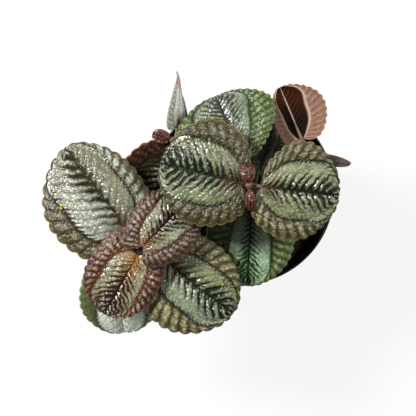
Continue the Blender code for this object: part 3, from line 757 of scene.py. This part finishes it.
def grid_faces(rows, columns):
    """Quads of the top, the underside and the margin between them, as index arrays."""
    index = np.arange(rows * columns).reshape(rows, columns)
    low = index + rows * columns
    top = np.stack([index[:-1, :-1], index[1:, :-1], index[1:, 1:], index[:-1, 1:]], -1).reshape(-1, 4)
    under = np.stack([low[:-1, :-1], low[:-1, 1:], low[1:, 1:], low[1:, :-1]], -1).reshape(-1, 4)
    loop = np.concatenate([index[:, 0], index[-1, 1:], index[-2::-1, -1], index[0, -2:0:-1]])
    after = np.roll(loop, -1)
    margin = np.stack([loop, loop + rows * columns, after + rows * columns, after], -1)
    return top, under, margin


for leaf in (LEAVES[0], LEAVES[2]):
    print(leaf.name, "has a grid of", blade_grid(leaf)[0].shape, "points")

# %% [markdown]
# ## The stalk
#
# The stalk comes out of the stem's skin, carries the blade, and runs on under the midrib, ever thinner.
# It could be an object of its own, but blade and stalk grow as one piece, so it is a tube in the same
# mesh.

# %% The stalk
STALK_SIDES, STALK_STEPS = 10, 5
STALK_SHARES = (1.5, FOOT_FLARE, 0.95, 0.95, 0.75, 0.3)  # the stalk's thickness at each of its points


def stalk_mesh(leaf, first):
    """The stalk's points and faces: from inside the stem's skin, up to the blade, and on under the midrib."""
    foot, bow = stalk_start(leaf)
    tuck = (foot - bow).normalized() * 1.2 * MM
    sunk = Vector((0, 0, -0.4 * MM * leaf.slim))
    spine = [Vector(p) for p in leaf_spine(leaf, (0.15, 0.32))]
    points = [foot + tuck, foot, bow, sunk, spine[0] + sunk, spine[1] + sunk * 0.6]
    line = through(points, STALK_STEPS)
    last = len(points) - 1
    shares = np.interp(np.linspace(0, last, len(line)), range(last + 1), STALK_SHARES)
    grid = rings(line, STALK_RADIUS * leaf.slim * shares, STALK_SIDES)
    return grid.reshape(-1, 3), tube_faces(len(line), STALK_SIDES, first)


def leaf_spine(leaf, shares):
    """Points on the midrib at the given shares of the length."""
    s = np.array(shares)
    run, rise = arc(s * leaf.length, 0, -leaf.bend, leaf.length)
    return np.stack([run, np.zeros_like(run), rise], -1)


print("a full-grown stalk is", round(2 * STALK_RADIUS / MM, 1), "mm thick")

# %% [markdown]
# ## A leaf put together
#
# The grid is bent, lifted by its relief, and given a top and an underside a little apart, joined at the
# margin. The stalk, the materials and the shares are added, and the leaf goes to its place on the stem.
# Modifiers could do most of these steps, but the shares have to stay with their points, and that is
# simplest when every point is made once.

# %% A leaf put together
THICKNESS = 0.55 * MM


def make_leaf(leaf, seed, materials):
    """One leaf in its place, with a material each for its top and margin, its underside and its stalk."""
    look = LOOKS[leaf.look]
    s, t = blade_grid(leaf)
    points, phase = bent_blade(leaf, look["teeth"], s, t, seed)
    quilt = Quilt(look, s, t, phase, seed)
    normals = normals_of(points)
    points = points + normals * (relief(quilt, look) * leaf.slim**0.7)[..., None]
    thick = THICKNESS * leaf.slim * (1 - 0.5 * smoothstep(0.85, 1, quilt.a))[..., None]
    upper, lower = points + normals * thick / 2, points - normals * thick / 2
    skin = np.concatenate([upper.reshape(-1, 3), lower.reshape(-1, 3)])
    stalk, stalk_faces = stalk_mesh(leaf, len(skin))
    top, under, margin = grid_faces(*s.shape)
    mesh = bpy.data.meshes.new("pilea_" + leaf.name)
    faces = top.tolist() + under.tolist() + margin.tolist() + stalk_faces
    mesh.from_pydata(np.concatenate([skin, stalk]).tolist(), [], faces)
    for finish in materials:
        mesh.materials.append(finish)
    slots = np.zeros(len(faces), dtype=np.int32)
    slots[len(top) : len(top) + len(under)] = 1
    slots[len(top) + len(under) + len(margin) :] = 2
    mesh.polygons.foreach_set("material_index", slots)
    for name, values in masks(quilt, look).items():
        layer = mesh.attributes.new(name, "FLOAT", "POINT")
        both = np.concatenate([values.ravel(), values.ravel(), np.zeros(len(stalk))])
        layer.data.foreach_set("value", both.astype(np.float32))
    mesh.transform(leaf_matrix(leaf))
    mesh.shade_smooth()
    return add_object("pilea_" + leaf.name, mesh)


print("a full-grown blade is", round(THICKNESS / MM, 2), "mm thick")

# %% [markdown]
# ## A short way to write materials
#
# A material is a small graph of nodes. The shader editor shows it as boxes and wires. Paint builds the
# same graph with short calls, which read from the first layer to the last and can be used again for every
# finish: each method adds a node and hands back its output, which can feed the next one. Lengths are in
# millimetres, and every texture is measured in the object's own axes.

# %% A short way to write materials
class Paint:
    """A new material, and the nodes that are added to its graph."""

    def __init__(self, name):
        self.material = bpy.data.materials.new(name)
        self.material.use_nodes = True
        self.tree = self.material.node_tree
        self.shader = self.tree.nodes["Principled BSDF"]

    def feed(self, socket, value):
        """Sets a socket to a number or a colour, or links another socket to it."""
        if isinstance(value, bpy.types.NodeSocket):
            self.tree.links.new(value, socket)
        else:
            socket.default_value = (*value, 1) if isinstance(value, tuple) else value

    def node(self, kind, inputs, output=0, **settings):
        """Adds a node, sets it up, feeds its inputs, and returns one of its outputs."""
        made = self.tree.nodes.new("ShaderNode" + kind)
        for name, value in settings.items():
            setattr(made, name, value)
        for name, value in inputs.items():
            self.feed(made.inputs[name], value)
        return made.outputs[output]

    def finish(self, colour, roughness, normal=None, specular=0.5):
        """Feeds the shader itself, and returns the finished material."""
        inputs = {"Base Color": colour, "Roughness": roughness, "Specular IOR Level": specular}
        for name, value in inputs.items():
            self.feed(self.shader.inputs[name], value)
        if normal:
            self.feed(self.shader.inputs["Normal"], normal)
        return self.material

    def mix(self, a, b, share):
        """Goes from colour a to colour b. The node's colours are its inputs 6 and 7 and its output 2."""
        return self.node("Mix", {0: share, 6: a, 7: b}, 2, data_type="RGBA")

    def calc(self, kind, a, b):
        return self.node("Math", {0: a, 1: b}, operation=kind, use_clamp=True)

    def times(self, a, b):
        return self.calc("MULTIPLY", a, b)

    def share(self, name):
        """One of the shares that the mesh keeps at its points."""
        return self.node("Attribute", {}, "Fac", attribute_name=name)

    def spread(self, value, low, high):
        """Stretches the values between low and high to 0..1."""
        return self.node("MapRange", {"Value": value, "From Min": low, "From Max": high}, "Result")

    def where(self):
        """The place of each point in the object's own axes."""
        return self.node("TexCoord", {}, "Object")

    def noise(self, size, detail, roughness=0.55):
        """Noise whose features are about size across."""
        inputs = {"Vector": self.where(), "Scale": 1 / (size * MM), "Detail": detail, "Roughness": roughness}
        return self.node("TexNoise", inputs, "Fac")

    def pebbles(self, size):
        """1 on the tops of little rounded pebbles of that size, and 0 in the creases between them."""
        inputs = {"Vector": self.where(), "Scale": 1 / (size * MM), "Smoothness": 0.35}
        return self.calc("SUBTRACT", 1.0, self.node("TexVoronoi", inputs, "Distance", feature="SMOOTH_F1"))

    def bump(self, height, depth, strength, under=None):
        """Bumps of that depth, on top of other bumps if there are any."""
        inputs = {"Strength": strength, "Distance": depth * MM, "Height": height}
        if under:
            inputs["Normal"] = under
        return self.node("Bump", inputs, "Normal")


print("Paint has:", ", ".join(name for name in vars(Paint) if name[0] != "_"))

# %% [markdown]
# ## Tissue, silver and outer panels
#
# Three grounds make up the top of a leaf. The tissue is dark, its ridges painted lighter and its valleys
# darker as painted light and shade, with painted highlight streaks along the highest ridges. Silver is
# creased, and mottled because it is made of tiny air pockets under the skin; painted shade darkens its
# creases and the gaps between its pebbles. The outer panels are bronze with paler puffs, whose pebble gaps
# get painted shade too. One mottled texture could stand for all three, but each of them answers to the
# relief in its own way.

# %% Tissue, silver and outer panels
def darker(colour, share):
    return tuple(c * share for c in colour)


def tissue_colour(paint, look, crest, mottle):
    """The dark tissue: painted light on its ridges, shade in its valleys, highlight streaks on the highest.
    """
    tissue = paint.mix(look["dark"], look["tip"], paint.share("tipward"))
    # painted light and shade: the ridge tops lighten to the mid colour, the valleys stay dark
    ridges = paint.times(paint.spread(crest, 0.45, 1.2), paint.spread(mottle, -1, 1))
    tissue = paint.mix(tissue, look["mid"], ridges)
    # painted highlight streaks along the highest ridges
    return paint.mix(tissue, look["streak"], paint.times(paint.share("streak"), mottle))


def silver_colour(paint, look, crest, pebble):
    """The silver: painted shade between its pebbles and in its creases, and washed out towards the tip."""
    pale = paint.mix(look["pale"], look["pale_right"], paint.share("right"))
    clouds = paint.spread(paint.noise(7, 2), 0.35, 0.65)
    # painted shade in the gaps between the skin's pebbles, stronger in some broad patches
    shade = paint.times(paint.spread(pebble, 0.95, 0.1), paint.spread(clouds, 1.3, -0.3))
    pale = paint.mix(pale, darker(look["pale"], 0.25), paint.times(shade, look["shade"]))
    pale = paint.mix(pale, look["mid"], paint.times(paint.share("tipward"), look["wash"]))
    # painted shade: the silver darkens where it lies low between the puffs
    crease_shade = paint.times(paint.spread(crest, 0.8, -0.4), look["shade"])
    return paint.mix(pale, darker(look["pale"], 0.2), crease_shade)


def outer_colour(paint, look, mottle, pebble):
    """The outer panels: a dark ground, paler puffs on it, and frosting on the middle of the puffs."""
    # the puffs' paler colour keeps to the pebble tops, so the gaps between pebbles stay dark as painted shade
    ground = paint.mix(look["outer"], look["outer_puff"], paint.times(paint.share("puff"), pebble))
    frosted = paint.times(paint.share("frost"), paint.spread(mottle, -1, 0.6))
    return paint.mix(ground, look["frosting"], frosted)


print("half as bright as white:", darker((1, 1, 1), 0.5))

# %% [markdown]
# ## The top of a leaf
#
# The grounds are laid over each other, each let in by one of the named shares. Then come the grooves,
# darkened as painted shade, the veins, the glow by the stalk and the thin margin. Single layers are easier
# to change than one finished texture. The skin is waxy, with a fine pebbled bump that breaks the light into
# small glints.

# %% The top of a leaf
PEBBLE = 1.5  # how big the pebbles of the skin are, in millimetres
LIME = (0.45, 0.55, 0.08)  # the colour of the small specks on some leaves


def leaf_top(name, look):
    paint = Paint("top_" + name)
    mottle = paint.spread(paint.noise(1.0, 4), 0.36, 0.64)
    pebble = paint.spread(paint.pebbles(PEBBLE), 0.3, 0.85)
    silver, crest, outer = (paint.share(share) for share in ("silver", "crest", "outer"))
    tissue = tissue_colour(paint, look, crest, mottle)
    pale = silver_colour(paint, look, crest, pebble)
    colour = paint.mix(tissue, pale, paint.times(silver, paint.spread(mottle, -1.5, 0.4)))
    colour = paint.mix(colour, outer_colour(paint, look, mottle, pebble), outer)
    # painted shade: the grooves between the puffs are darkened
    colour = paint.mix(colour, darker(look["dark"], 0.5), paint.share("groove"))
    colour = paint.mix(colour, look["vein"], paint.share("vein"))
    colour = paint.mix(colour, look["glow"], paint.share("glow"))
    if look["end_share"]:
        colour = paint.mix(colour, look["end"], paint.times(paint.share("end"), look["end_share"]))
    if look["speck"]:
        spot = paint.spread(paint.noise(6, 1), 0.72 - 0.05 * look["speck"], 0.74)
        colour = paint.mix(colour, LIME, paint.times(spot, pebble))
    colour = paint.mix(colour, look["edge"], paint.share("edge"))
    matt = paint.calc("ADD", paint.times(silver, 0.06), paint.times(outer, 0.24))
    grain = paint.bump(paint.noise(0.7, 3), 0.25, 0.4)
    knobby = paint.calc("MAXIMUM", paint.times(silver, 0.55), paint.times(outer, 0.5))
    knobs = paint.bump(paint.pebbles(PEBBLE), 0.7, paint.calc("ADD", knobby, 0.12), grain)
    return paint.finish(colour, paint.calc("ADD", matt, look["gloss"]), knobs)


print("the pebbles of the skin are", PEBBLE, "mm across")

# %% [markdown]
# ## Undersides and stalks
#
# The underside is dull, and its veins and the ribs of its outer panels are pale. A stalk is red with some
# green in it. The top's material could cover them too, but it would shine, so each has a simpler one of
# its own. Then every look gets its three materials.

# %% Undersides and stalks
def leaf_under(name, look):
    paint = Paint("under_" + name)
    mottle = paint.spread(paint.noise(1.2, 4), 0.3, 0.7)
    outer = paint.share("outer")
    colour = paint.mix(look["under"], look["under_tip"], paint.share("tipward"))
    colour = paint.mix(colour, look["under_outer"], outer)
    colour = paint.mix(colour, darker(look["under"], 0.5), paint.times(mottle, 0.4))
    ribs = paint.times(paint.calc("POWER", paint.share("groove"), 2.5), outer)
    veins = paint.calc("MAXIMUM", paint.share("vein"), ribs)
    colour = paint.mix(colour, look["under_vein"], paint.times(veins, 0.9))
    colour = paint.mix(colour, look["edge"], paint.share("edge"))
    return paint.finish(colour, 0.6, paint.bump(paint.noise(0.6, 3), 0.3, 0.6), specular=0.08)


STALK_RED, STALK_GREEN = (0.16, 0.06, 0.035), (0.1, 0.11, 0.04)


def leaf_stalk(name, look):
    paint = Paint("stalk_" + name)
    base = tuple((a + b) / 2 for a, b in zip(look["under_outer"], STALK_RED))
    colour = paint.mix(base, STALK_GREEN, paint.spread(paint.noise(1.5, 3), 0.45, 0.7))
    return paint.finish(colour, 0.45, paint.bump(paint.noise(0.5, 2), 0.2, 0.5))


SKINS = {}
for name, look in LOOKS.items():
    SKINS[name] = (leaf_top(name, look), leaf_under(name, look), leaf_stalk(name, look))
print("leaf materials:", 3 * len(SKINS))

# %% [markdown]
# ## Growing the leaves
#
# With the surface and the skin ready, every leaf can grow in its place. They could be copies of one leaf,
# but then the same puffs would come back on all of them, so each has a seed of its own. Each leaf rides
# on the plant's only body, and replaces the plain solid that holds its place in the frame.

# %% Growing the leaves
FIRST_SEED, SEEDS_APART = 100, 10  # a leaf uses a few seeds, and no two leaves share one
leaf_pieces = []
for number, leaf in enumerate(LEAVES):
    piece = make_leaf(leaf, FIRST_SEED + SEEDS_APART * number, SKINS[leaf.look])
    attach(piece, "root")
    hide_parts(leaf.name)
    leaf_pieces.append(piece)
print("triangles in the leaves:", sum(2 * len(piece.data.polygons) for piece in leaf_pieces))

# %% [markdown]
# ## The skin of a stem
#
# The stem is red-brown with green showing through, and flecked. A flat brown would look like wood. Noise
# in two sizes gives both, and it needs no unwrapping, because it is measured in the object's own axes.

# %% The skin of a stem
def stem_material():
    paint = Paint("stem_skin")
    red, green, fleck = (0.14, 0.05, 0.03), (0.1, 0.11, 0.045), (0.3, 0.17, 0.1)
    colour = paint.mix(red, green, paint.spread(paint.noise(2.2, 4), 0.42, 0.68))
    colour = paint.mix(colour, fleck, paint.times(paint.spread(paint.noise(0.5, 2), 0.55, 0.8), 0.5))
    return paint.finish(colour, 0.42, paint.bump(paint.noise(0.6, 3), 0.25, 0.6))


stem_skin = stem_material()
print("the stems' material:", stem_skin.name)

# %% [markdown]
# ## Stems
#
# A pilea's stem is a juicy, slightly ribbed rod that swells at each node, where leaves spring from it.
# Rods with balls pushed over them would show seams. One tube whose radius changes along it and round it
# gives the swellings and the ribs in a single skin.

# %% Stems
STEM_STEPS, STEM_SIDES = 14, 20
NODE_SWELL, NODE_REACH = 0.22, 2.2 * MM


def make_stem(name, finish):
    line, radii = stem_rod(name, STEM_STEPS)
    heights = [leaf.height for leaf in LEAVES if leaf.stem == name]
    swell = [1 + NODE_SWELL * max(bell(height, NODE_REACH, place.z) for height in heights) for place in line]
    radii = [radius * more for radius, more in zip(radii, swell)]

    def ribs(i, angles):
        return 1 + 0.035 * np.cos(5 * angles) + 0.02 * np.sin(3 * angles + i * 0.15)

    grid = rings(line, radii, STEM_SIDES, ribs)
    mesh = bpy.data.meshes.new("pilea_" + name)
    mesh.from_pydata(grid.reshape(-1, 3).tolist(), [], tube_faces(len(line), STEM_SIDES, 0))
    mesh.materials.append(finish)
    mesh.shade_smooth()
    piece = add_object("pilea_" + name, mesh)
    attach(piece, "root")
    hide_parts(name)
    return piece


stem_pieces = [make_stem(name, stem_skin) for name in STEMS]
print("stems:", ", ".join(piece.name for piece in stem_pieces))

# %% [markdown]
# ## The main sizes of the pot
#
# The mix fills the pot, so the pot's main sizes come first. Its wall leans out a little from the base to
# the collar, which lets such pots be stacked. Pot and mix could each have their own sizes, but then they
# might not fit.

# %% The main sizes of the pot
RIM_RADIUS, POT_HEIGHT, BASE_RADIUS, WALL = 52.5 * MM, 92 * MM, 37 * MM, 1.3 * MM
COLLAR_HEIGHT, COLLAR_STEP = 9 * MM, 1.6 * MM


def wall_radius(height):
    """The pot wall's outer radius below the collar."""
    shoulder = RIM_RADIUS - COLLAR_STEP
    return BASE_RADIUS + (shoulder - BASE_RADIUS) * height / (POT_HEIGHT - COLLAR_HEIGHT)


print("half way up, the pot is", round(2 * wall_radius(POT_HEIGHT / 2) / MM, 1), "mm across")

# %% [markdown]
# ## The top of the mix
#
# The mix is watered and has settled into low heaps with small crumbs on them. It could be a flat disc
# with a bump texture, which is enough from afar. Heights made of three waves, each finer than the last,
# also give the crumbs something to lie on.

# %% The top of the mix
SOIL_FOOT, SOIL_TOP, SOIL_CROWN = 5 * MM, 78 * MM, 2 * MM


def soil_height(x, y):
    """The mix's top at (x, y) in metres: a low crown, broad heaps and small crumbs."""
    r = np.hypot(x, y) / (50 * MM)
    u, v = x / (10 * MM), y / (10 * MM)
    heap = wander(u, v, 5) + 0.55 * wander(u * 3.1, v * 3.1, 6) + 0.35 * np.abs(wander(u * 8, v * 8, 7, 9))
    return SOIL_TOP + SOIL_CROWN * (1 - r * r) + heap * MM * 0.8


print("in its middle the mix is", round(float(soil_height(0, 0)) / MM, 1), "mm high")

# %% [markdown]
# ## What the mix is made of
#
# The mix is dark, moist peat with bits of bark and a few white grains of perlite. A ready-made soil
# texture would do from afar. Noise between two browns is enough for peat, because the crumbs on it are
# real shapes and bring their own light and shadow.

# %% What the mix is made of
def soil_material():
    paint = Paint("potting_mix")
    grain = paint.spread(paint.noise(1.1, 6, 0.7), 0.4, 0.7)
    colour = paint.mix((0.008, 0.006, 0.005), (0.05, 0.032, 0.02), grain)
    return paint.finish(colour, 0.95, paint.bump(paint.noise(0.8, 5), 0.6, 1.0))


def crumb_material(name, dark, light):
    paint = Paint(name)
    colour = paint.mix(dark, light, paint.spread(paint.noise(1.3, 4), 0.35, 0.7))
    return paint.finish(colour, 0.9, paint.bump(paint.noise(0.5, 4), 0.3, 0.8))


print("the mix has 3 materials: peat, bark and perlite")

# %% [markdown]
# ## Loose crumbs
#
# Crumbs of several sizes lie pressed into the top. Particles could scatter them, but a loop with a seeded
# random generator lays them in the same places on every run. Each is a small ball with shifted corners,
# and bits of bark are stretched as well.

# %% Loose crumbs
CRUMB_REACH, CRUMB_SEED = 46 * MM, 21
PEAT, BARK, PERLITE = 0, 1, 2  # the order of the mix's materials
CRUMBS = ((BARK, 260, 0.6, 1.8), (PERLITE, 46, 0.6, 1.3), (PEAT, 520, 0.4, 1.2))  # kind, count, radii in mm


def add_crumb(work, rng, kind, size):
    """One lumpy grain, pressed a little into the mix."""
    turn, reach = rng.uniform(0, 2 * math.pi), math.sqrt(rng.uniform(0, 1)) * CRUMB_REACH
    x, y = reach * math.cos(turn), reach * math.sin(turn)
    stretch = rng.uniform(0.6, 1.4, 3) if kind == BARK else rng.uniform(0.8, 1.2, 3)
    spin = Euler(rng.uniform(0, 2 * math.pi, 3)).to_matrix().to_4x4()
    place = Matrix.Translation((x, y, float(soil_height(x, y)) + size * 0.3))
    whole = place @ spin @ Matrix.Diagonal((*stretch, 1))
    made = bmesh.ops.create_icosphere(work, subdivisions=1, radius=size, matrix=whole)
    for vert in made["verts"]:
        vert.co += Vector(rng.uniform(-0.18, 0.18, 3) * size)
    for face in {face for vert in made["verts"] for face in vert.link_faces}:
        face.material_index = kind


print("crumbs:", sum(count for _, count, _, _ in CRUMBS))

# %% [markdown]
# ## Filling the pot
#
# The filling is a round plug: rings of points over its rough top, and one more ring at its foot. A
# cylinder could be subdivided and displaced, but rings need no modifier, and the tube's faces can be used
# again. The crumbs go into the same mesh, because the whole mix counts as one piece.

# %% Filling the pot
SOIL_RINGS, SOIL_SPOKES = 84, 240
TOP_GAP, FOOT_GAP = 0.35 * MM, 0.5 * MM  # between the mix and the pot's wall


def make_soil():
    radii = np.linspace(0.02, 1, SOIL_RINGS) * (wall_radius(SOIL_TOP) - WALL - TOP_GAP)
    angles = np.arange(SOIL_SPOKES) * 2 * math.pi / SOIL_SPOKES
    r, angle = np.meshgrid(radii, angles, indexing="ij")
    x, y = r * np.cos(angle), r * np.sin(angle)
    top = np.stack([x, y, soil_height(x, y)], -1)
    foot_radius = wall_radius(SOIL_FOOT) - WALL - FOOT_GAP
    foot = [foot_radius * np.cos(angles), foot_radius * np.sin(angles), np.full(SOIL_SPOKES, SOIL_FOOT)]
    points = np.concatenate([top.reshape(-1, 3), np.stack(foot, -1)])
    mesh = bpy.data.meshes.new("pilea_potting_mix")
    mesh.from_pydata(points.tolist(), [], tube_faces(SOIL_RINGS + 1, SOIL_SPOKES, 0))
    work = bmesh.new()
    work.from_mesh(mesh)
    bmesh.ops.recalc_face_normals(work, faces=work.faces)
    rng = np.random.default_rng(CRUMB_SEED)
    for kind, count, smallest, largest in CRUMBS:
        for _ in range(count):
            add_crumb(work, rng, kind, rng.uniform(smallest, largest) * MM)
    work.to_mesh(mesh)
    work.free()
    mesh.materials.append(soil_material())
    mesh.materials.append(crumb_material("bark_crumbs", (0.03, 0.016, 0.009), (0.1, 0.055, 0.028)))
    mesh.materials.append(crumb_material("perlite_grains", (0.4, 0.38, 0.33), (0.65, 0.63, 0.57)))
    mesh.shade_smooth()
    piece = add_object("pilea_potting_mix", mesh)
    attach(piece, "root")
    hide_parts("potting_mix")
    return piece


soil_piece = make_soil()
print("faces in the mix:", len(soil_piece.data.polygons))

# %% [markdown]
# ## The profile of the pot
#
# A nursery pot is moulded from one thin sheet of plastic, the same thickness nearly everywhere. Its floor
# has a raised channel for the drain holes, and its rim a collar. It could be pushed and pulled from a
# cylinder. Half of its section, drawn as a line, holds all of that and is easy to compare with the
# solid's.

# %% The profile of the pot
CHANNEL_INNER, CHANNEL_OUTER, CHANNEL_RISE = 15 * MM, 29 * MM, 2.4 * MM
CHANNEL_RAMP = 2 * MM  # how far the channel's sides lean


def pot_profile():
    """From the middle of the floor's upper face, up the inside, over the rim, down the outside and back."""
    collar = POT_HEIGHT - COLLAR_HEIGHT
    neck = wall_radius(collar)
    inside = [
        (0, WALL),
        (CHANNEL_INNER - WALL / 2, WALL),
        (CHANNEL_INNER + CHANNEL_RAMP - WALL / 2, WALL + CHANNEL_RISE),
        (CHANNEL_OUTER - CHANNEL_RAMP + WALL / 2, WALL + CHANNEL_RISE),
        (CHANNEL_OUTER + WALL / 2, WALL),
        (wall_radius(WALL) - WALL - 1 * MM, WALL),
        (wall_radius(WALL) - WALL, WALL + 1 * MM),
        (neck - WALL, collar),
        (neck - WALL + COLLAR_STEP, collar + 1 * MM),
    ]
    bead = WALL / 2
    rim = [
        (RIM_RADIUS - bead - bead * math.cos(a), POT_HEIGHT - bead + bead * math.sin(a))
        for a in np.linspace(0, math.pi, 9)
    ]
    outside = [
        (neck + COLLAR_STEP - 0.3 * WALL, collar + WALL / 2),
        (neck + COLLAR_STEP / 2, collar),
        (neck, collar),
        (wall_radius(1 * MM), 1 * MM),
        (BASE_RADIUS - 0.8 * MM, 0),
        (CHANNEL_OUTER, 0),
        (CHANNEL_OUTER - CHANNEL_RAMP, CHANNEL_RISE),
        (CHANNEL_INNER + CHANNEL_RAMP, CHANNEL_RISE),
        (CHANNEL_INNER, 0),
        (0, 0),
    ]
    return inside + rim + outside


print("points in the profile:", len(pot_profile()))

# %% [markdown]
# ## The plastic
#
# The plastic is black and satin, with a little dust in its grain. A single grey would do for a clean pot.
# Noise sets where the dust lies, and the same noise makes it paler and duller there, as dust is.

# %% The plastic
def pot_material():
    paint = Paint("pot_plastic")
    dust = paint.spread(paint.noise(3.0, 6, 0.65), 0.5, 0.8)
    colour = paint.mix((0.006, 0.006, 0.0065), (0.03, 0.027, 0.024), paint.times(dust, 0.6))
    roughness = paint.calc("ADD", paint.times(dust, 0.25), 0.36)
    return paint.finish(colour, roughness, paint.bump(paint.noise(0.7, 4), 0.08, 0.5))


print("the pot's wall is", round(WALL / MM, 1), "mm thick")

# %% [markdown]
# ## Turned and drilled
#
# The pot is turned from its profile by a Screw modifier, in finer steps than the solid and with a rounded
# rim. Its drain holes could be left out of the mesh by hand, but a Boolean with eight upright rods cuts
# them cleanly. Both are made final at once, so that the frame gets a plain mesh.

# %% Turned and drilled
DRAIN_HOLES, DRAIN_RADIUS = 8, 3.2 * MM
POT_STEPS = 160


def make_drill():
    """Upright rods where the drain holes go."""
    work = bmesh.new()
    middle = (CHANNEL_INNER + CHANNEL_OUTER) / 2
    rod = {"cap_ends": True, "segments": 32, "depth": 4 * WALL}
    for i in range(DRAIN_HOLES):
        turn = 2 * math.pi * (i + 0.5) / DRAIN_HOLES
        centre = (middle * math.cos(turn), middle * math.sin(turn), CHANNEL_RISE + WALL / 2)
        place = Matrix.Translation(centre)
        bmesh.ops.create_cone(work, radius1=DRAIN_RADIUS, radius2=DRAIN_RADIUS, matrix=place, **rod)
    mesh = bpy.data.meshes.new("drain_drill")
    work.to_mesh(mesh)
    work.free()
    return add_object("drain_drill", mesh)


def make_pot():
    mesh = bpy.data.meshes.new("nursery_pot")
    profile = [(r, 0, z) for r, z in pot_profile()]
    mesh.from_pydata(profile, [(i, i + 1) for i in range(len(profile) - 1)], [])
    mesh.materials.append(pot_material())
    pot = add_object("nursery_pot", mesh)
    screw = pot.modifiers.new("turn", "SCREW")
    screw.steps = screw.render_steps = POT_STEPS
    screw.use_merge_vertices = True
    screw.merge_threshold = 0.01 * MM
    drill = make_drill()
    cut = pot.modifiers.new("drainage", "BOOLEAN")
    cut.operation = "DIFFERENCE"
    cut.object = drill
    bpy.context.view_layer.update()
    graph = bpy.context.evaluated_depsgraph_get()
    finished = bpy.data.meshes.new_from_object(pot.evaluated_get(graph))
    pot.modifiers.clear()
    pot.data = finished
    bpy.data.objects.remove(drill)
    finished.shade_smooth()
    finished.set_sharp_from_angle(angle=math.radians(35))
    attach(pot, "root")
    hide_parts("pot")
    return pot


pot_piece = make_pot()
print("faces in the pot:", len(pot_piece.data.polygons))

# %% [markdown]
# ## Floor
#
# The plant stands on a plain white floor. A floor that is only lit would come out grey and uneven. To the
# camera this one mostly glows by itself, and only a small share of what it shows is lit, so that it reads
# as plain white and still keeps a faint, soft shadow.

# %% Floor
FLOOR_REACH = 3  # metres from the middle to each side
FLOOR_GLOW = 0.86  # the share of glow in what the camera sees


def floor_material():
    paint = Paint("white_floor")
    paint.finish((0.85, 0.85, 0.85), 0.9)
    path = paint.tree.nodes.new("ShaderNodeLightPath")
    seen = paint.calc("MAXIMUM", path.outputs["Is Camera Ray"], path.outputs["Is Glossy Ray"])
    glow = paint.node("Emission", {"Strength": 1.0})
    blend = paint.node("MixShader", {0: paint.times(seen, FLOOR_GLOW), 1: paint.shader.outputs[0], 2: glow})
    paint.feed(paint.tree.nodes["Material Output"].inputs["Surface"], blend)
    return paint.material


floor_mesh = bpy.data.meshes.new("floor")
corners = [(x * FLOOR_REACH, y * FLOOR_REACH, 0) for x, y in ((-1, -1), (1, -1), (1, 1), (-1, 1))]
floor_mesh.from_pydata(corners, [], [(0, 1, 2, 3)])
floor_mesh.materials.append(floor_material())
floor = add_object("floor", floor_mesh)
print("floor:", 2 * FLOOR_REACH, "m each way")

# %% [markdown]
# ## Lamps and world
#
# A large soft lamp high on the left gives form, and a weaker one on the right keeps the shadows open. The
# world adds a little even light, and it is white where the camera sees it. The world alone could light
# the plant, but without a main lamp the quilting would look flat.

# %% Lamps and world
def area_lamp(name, place, target, size, power, colour):
    data = bpy.data.lights.new(name, "AREA")
    data.shape = "DISK"
    data.size = size
    data.energy = power
    data.color = colour
    lamp = add_object(name, data)
    lamp.location = place
    lamp.rotation_euler = (Vector(target) - Vector(place)).to_track_quat("-Z", "Y").to_euler()


def light_world():
    world = bpy.data.worlds.new("studio")
    bpy.context.scene.world = world
    world.use_nodes = True
    tree = world.node_tree
    sky = tree.nodes["Background"]
    kinds = ("Background", "LightPath", "MixShader")
    white, path, either = (tree.nodes.new("ShaderNode" + kind) for kind in kinds)
    sky.inputs["Color"].default_value = (0.95, 0.97, 1.0, 1)
    sky.inputs["Strength"].default_value = 0.15
    white.inputs["Strength"].default_value = 1.0
    tree.links.new(path.outputs["Is Camera Ray"], either.inputs[0])
    tree.links.new(sky.outputs[0], either.inputs[1])
    tree.links.new(white.outputs[0], either.inputs[2])
    tree.links.new(either.outputs[0], tree.nodes["World Output"].inputs["Surface"])


FOLIAGE_MIDDLE = (-0.02, -0.01, 0.12)
area_lamp("key_lamp", (-0.7, 0.4, 0.95), FOLIAGE_MIDDLE, 0.3, 20, (1.0, 0.985, 0.94))
area_lamp("side_lamp", (0.75, 0.35, 0.85), FOLIAGE_MIDDLE, 0.26, 6, (1.0, 0.985, 0.95))
light_world()
print("lamps:", ", ".join(lamp.name for lamp in bpy.data.lights))

# %% [markdown]
# ## Camera
#
# The camera looks straight down, which a camera does when it isn't turned at all. It hangs well above the
# rim, over the middle of the foliage. A wide lens nearer by would show as much, but a long lens keeps the
# high leaves from looking much larger than the low ones.

# %% Camera
CAMERA_ABOVE_RIM = 656 * MM
camera_data = bpy.data.cameras.new("camera")
camera_data.lens = 100.5
camera_data.sensor_width = 36
camera_data.clip_start = 0.01
camera = add_object("camera", camera_data)
camera.location = (-19 * MM, -9.2 * MM, POT_HEIGHT + CAMERA_ABOVE_RIM)
bpy.context.scene.camera = camera
bpy.context.scene.view_settings.view_transform = "Standard"
print("camera at", [round(x, 3) for x in camera.location])

# %% [markdown]
# ## Bringing the scene up to date
#
# The dressed plant has to keep the size of its solids. Last, the view layer is brought up to date.

# %% Bringing the scene up to date
bpy.context.view_layer.update()
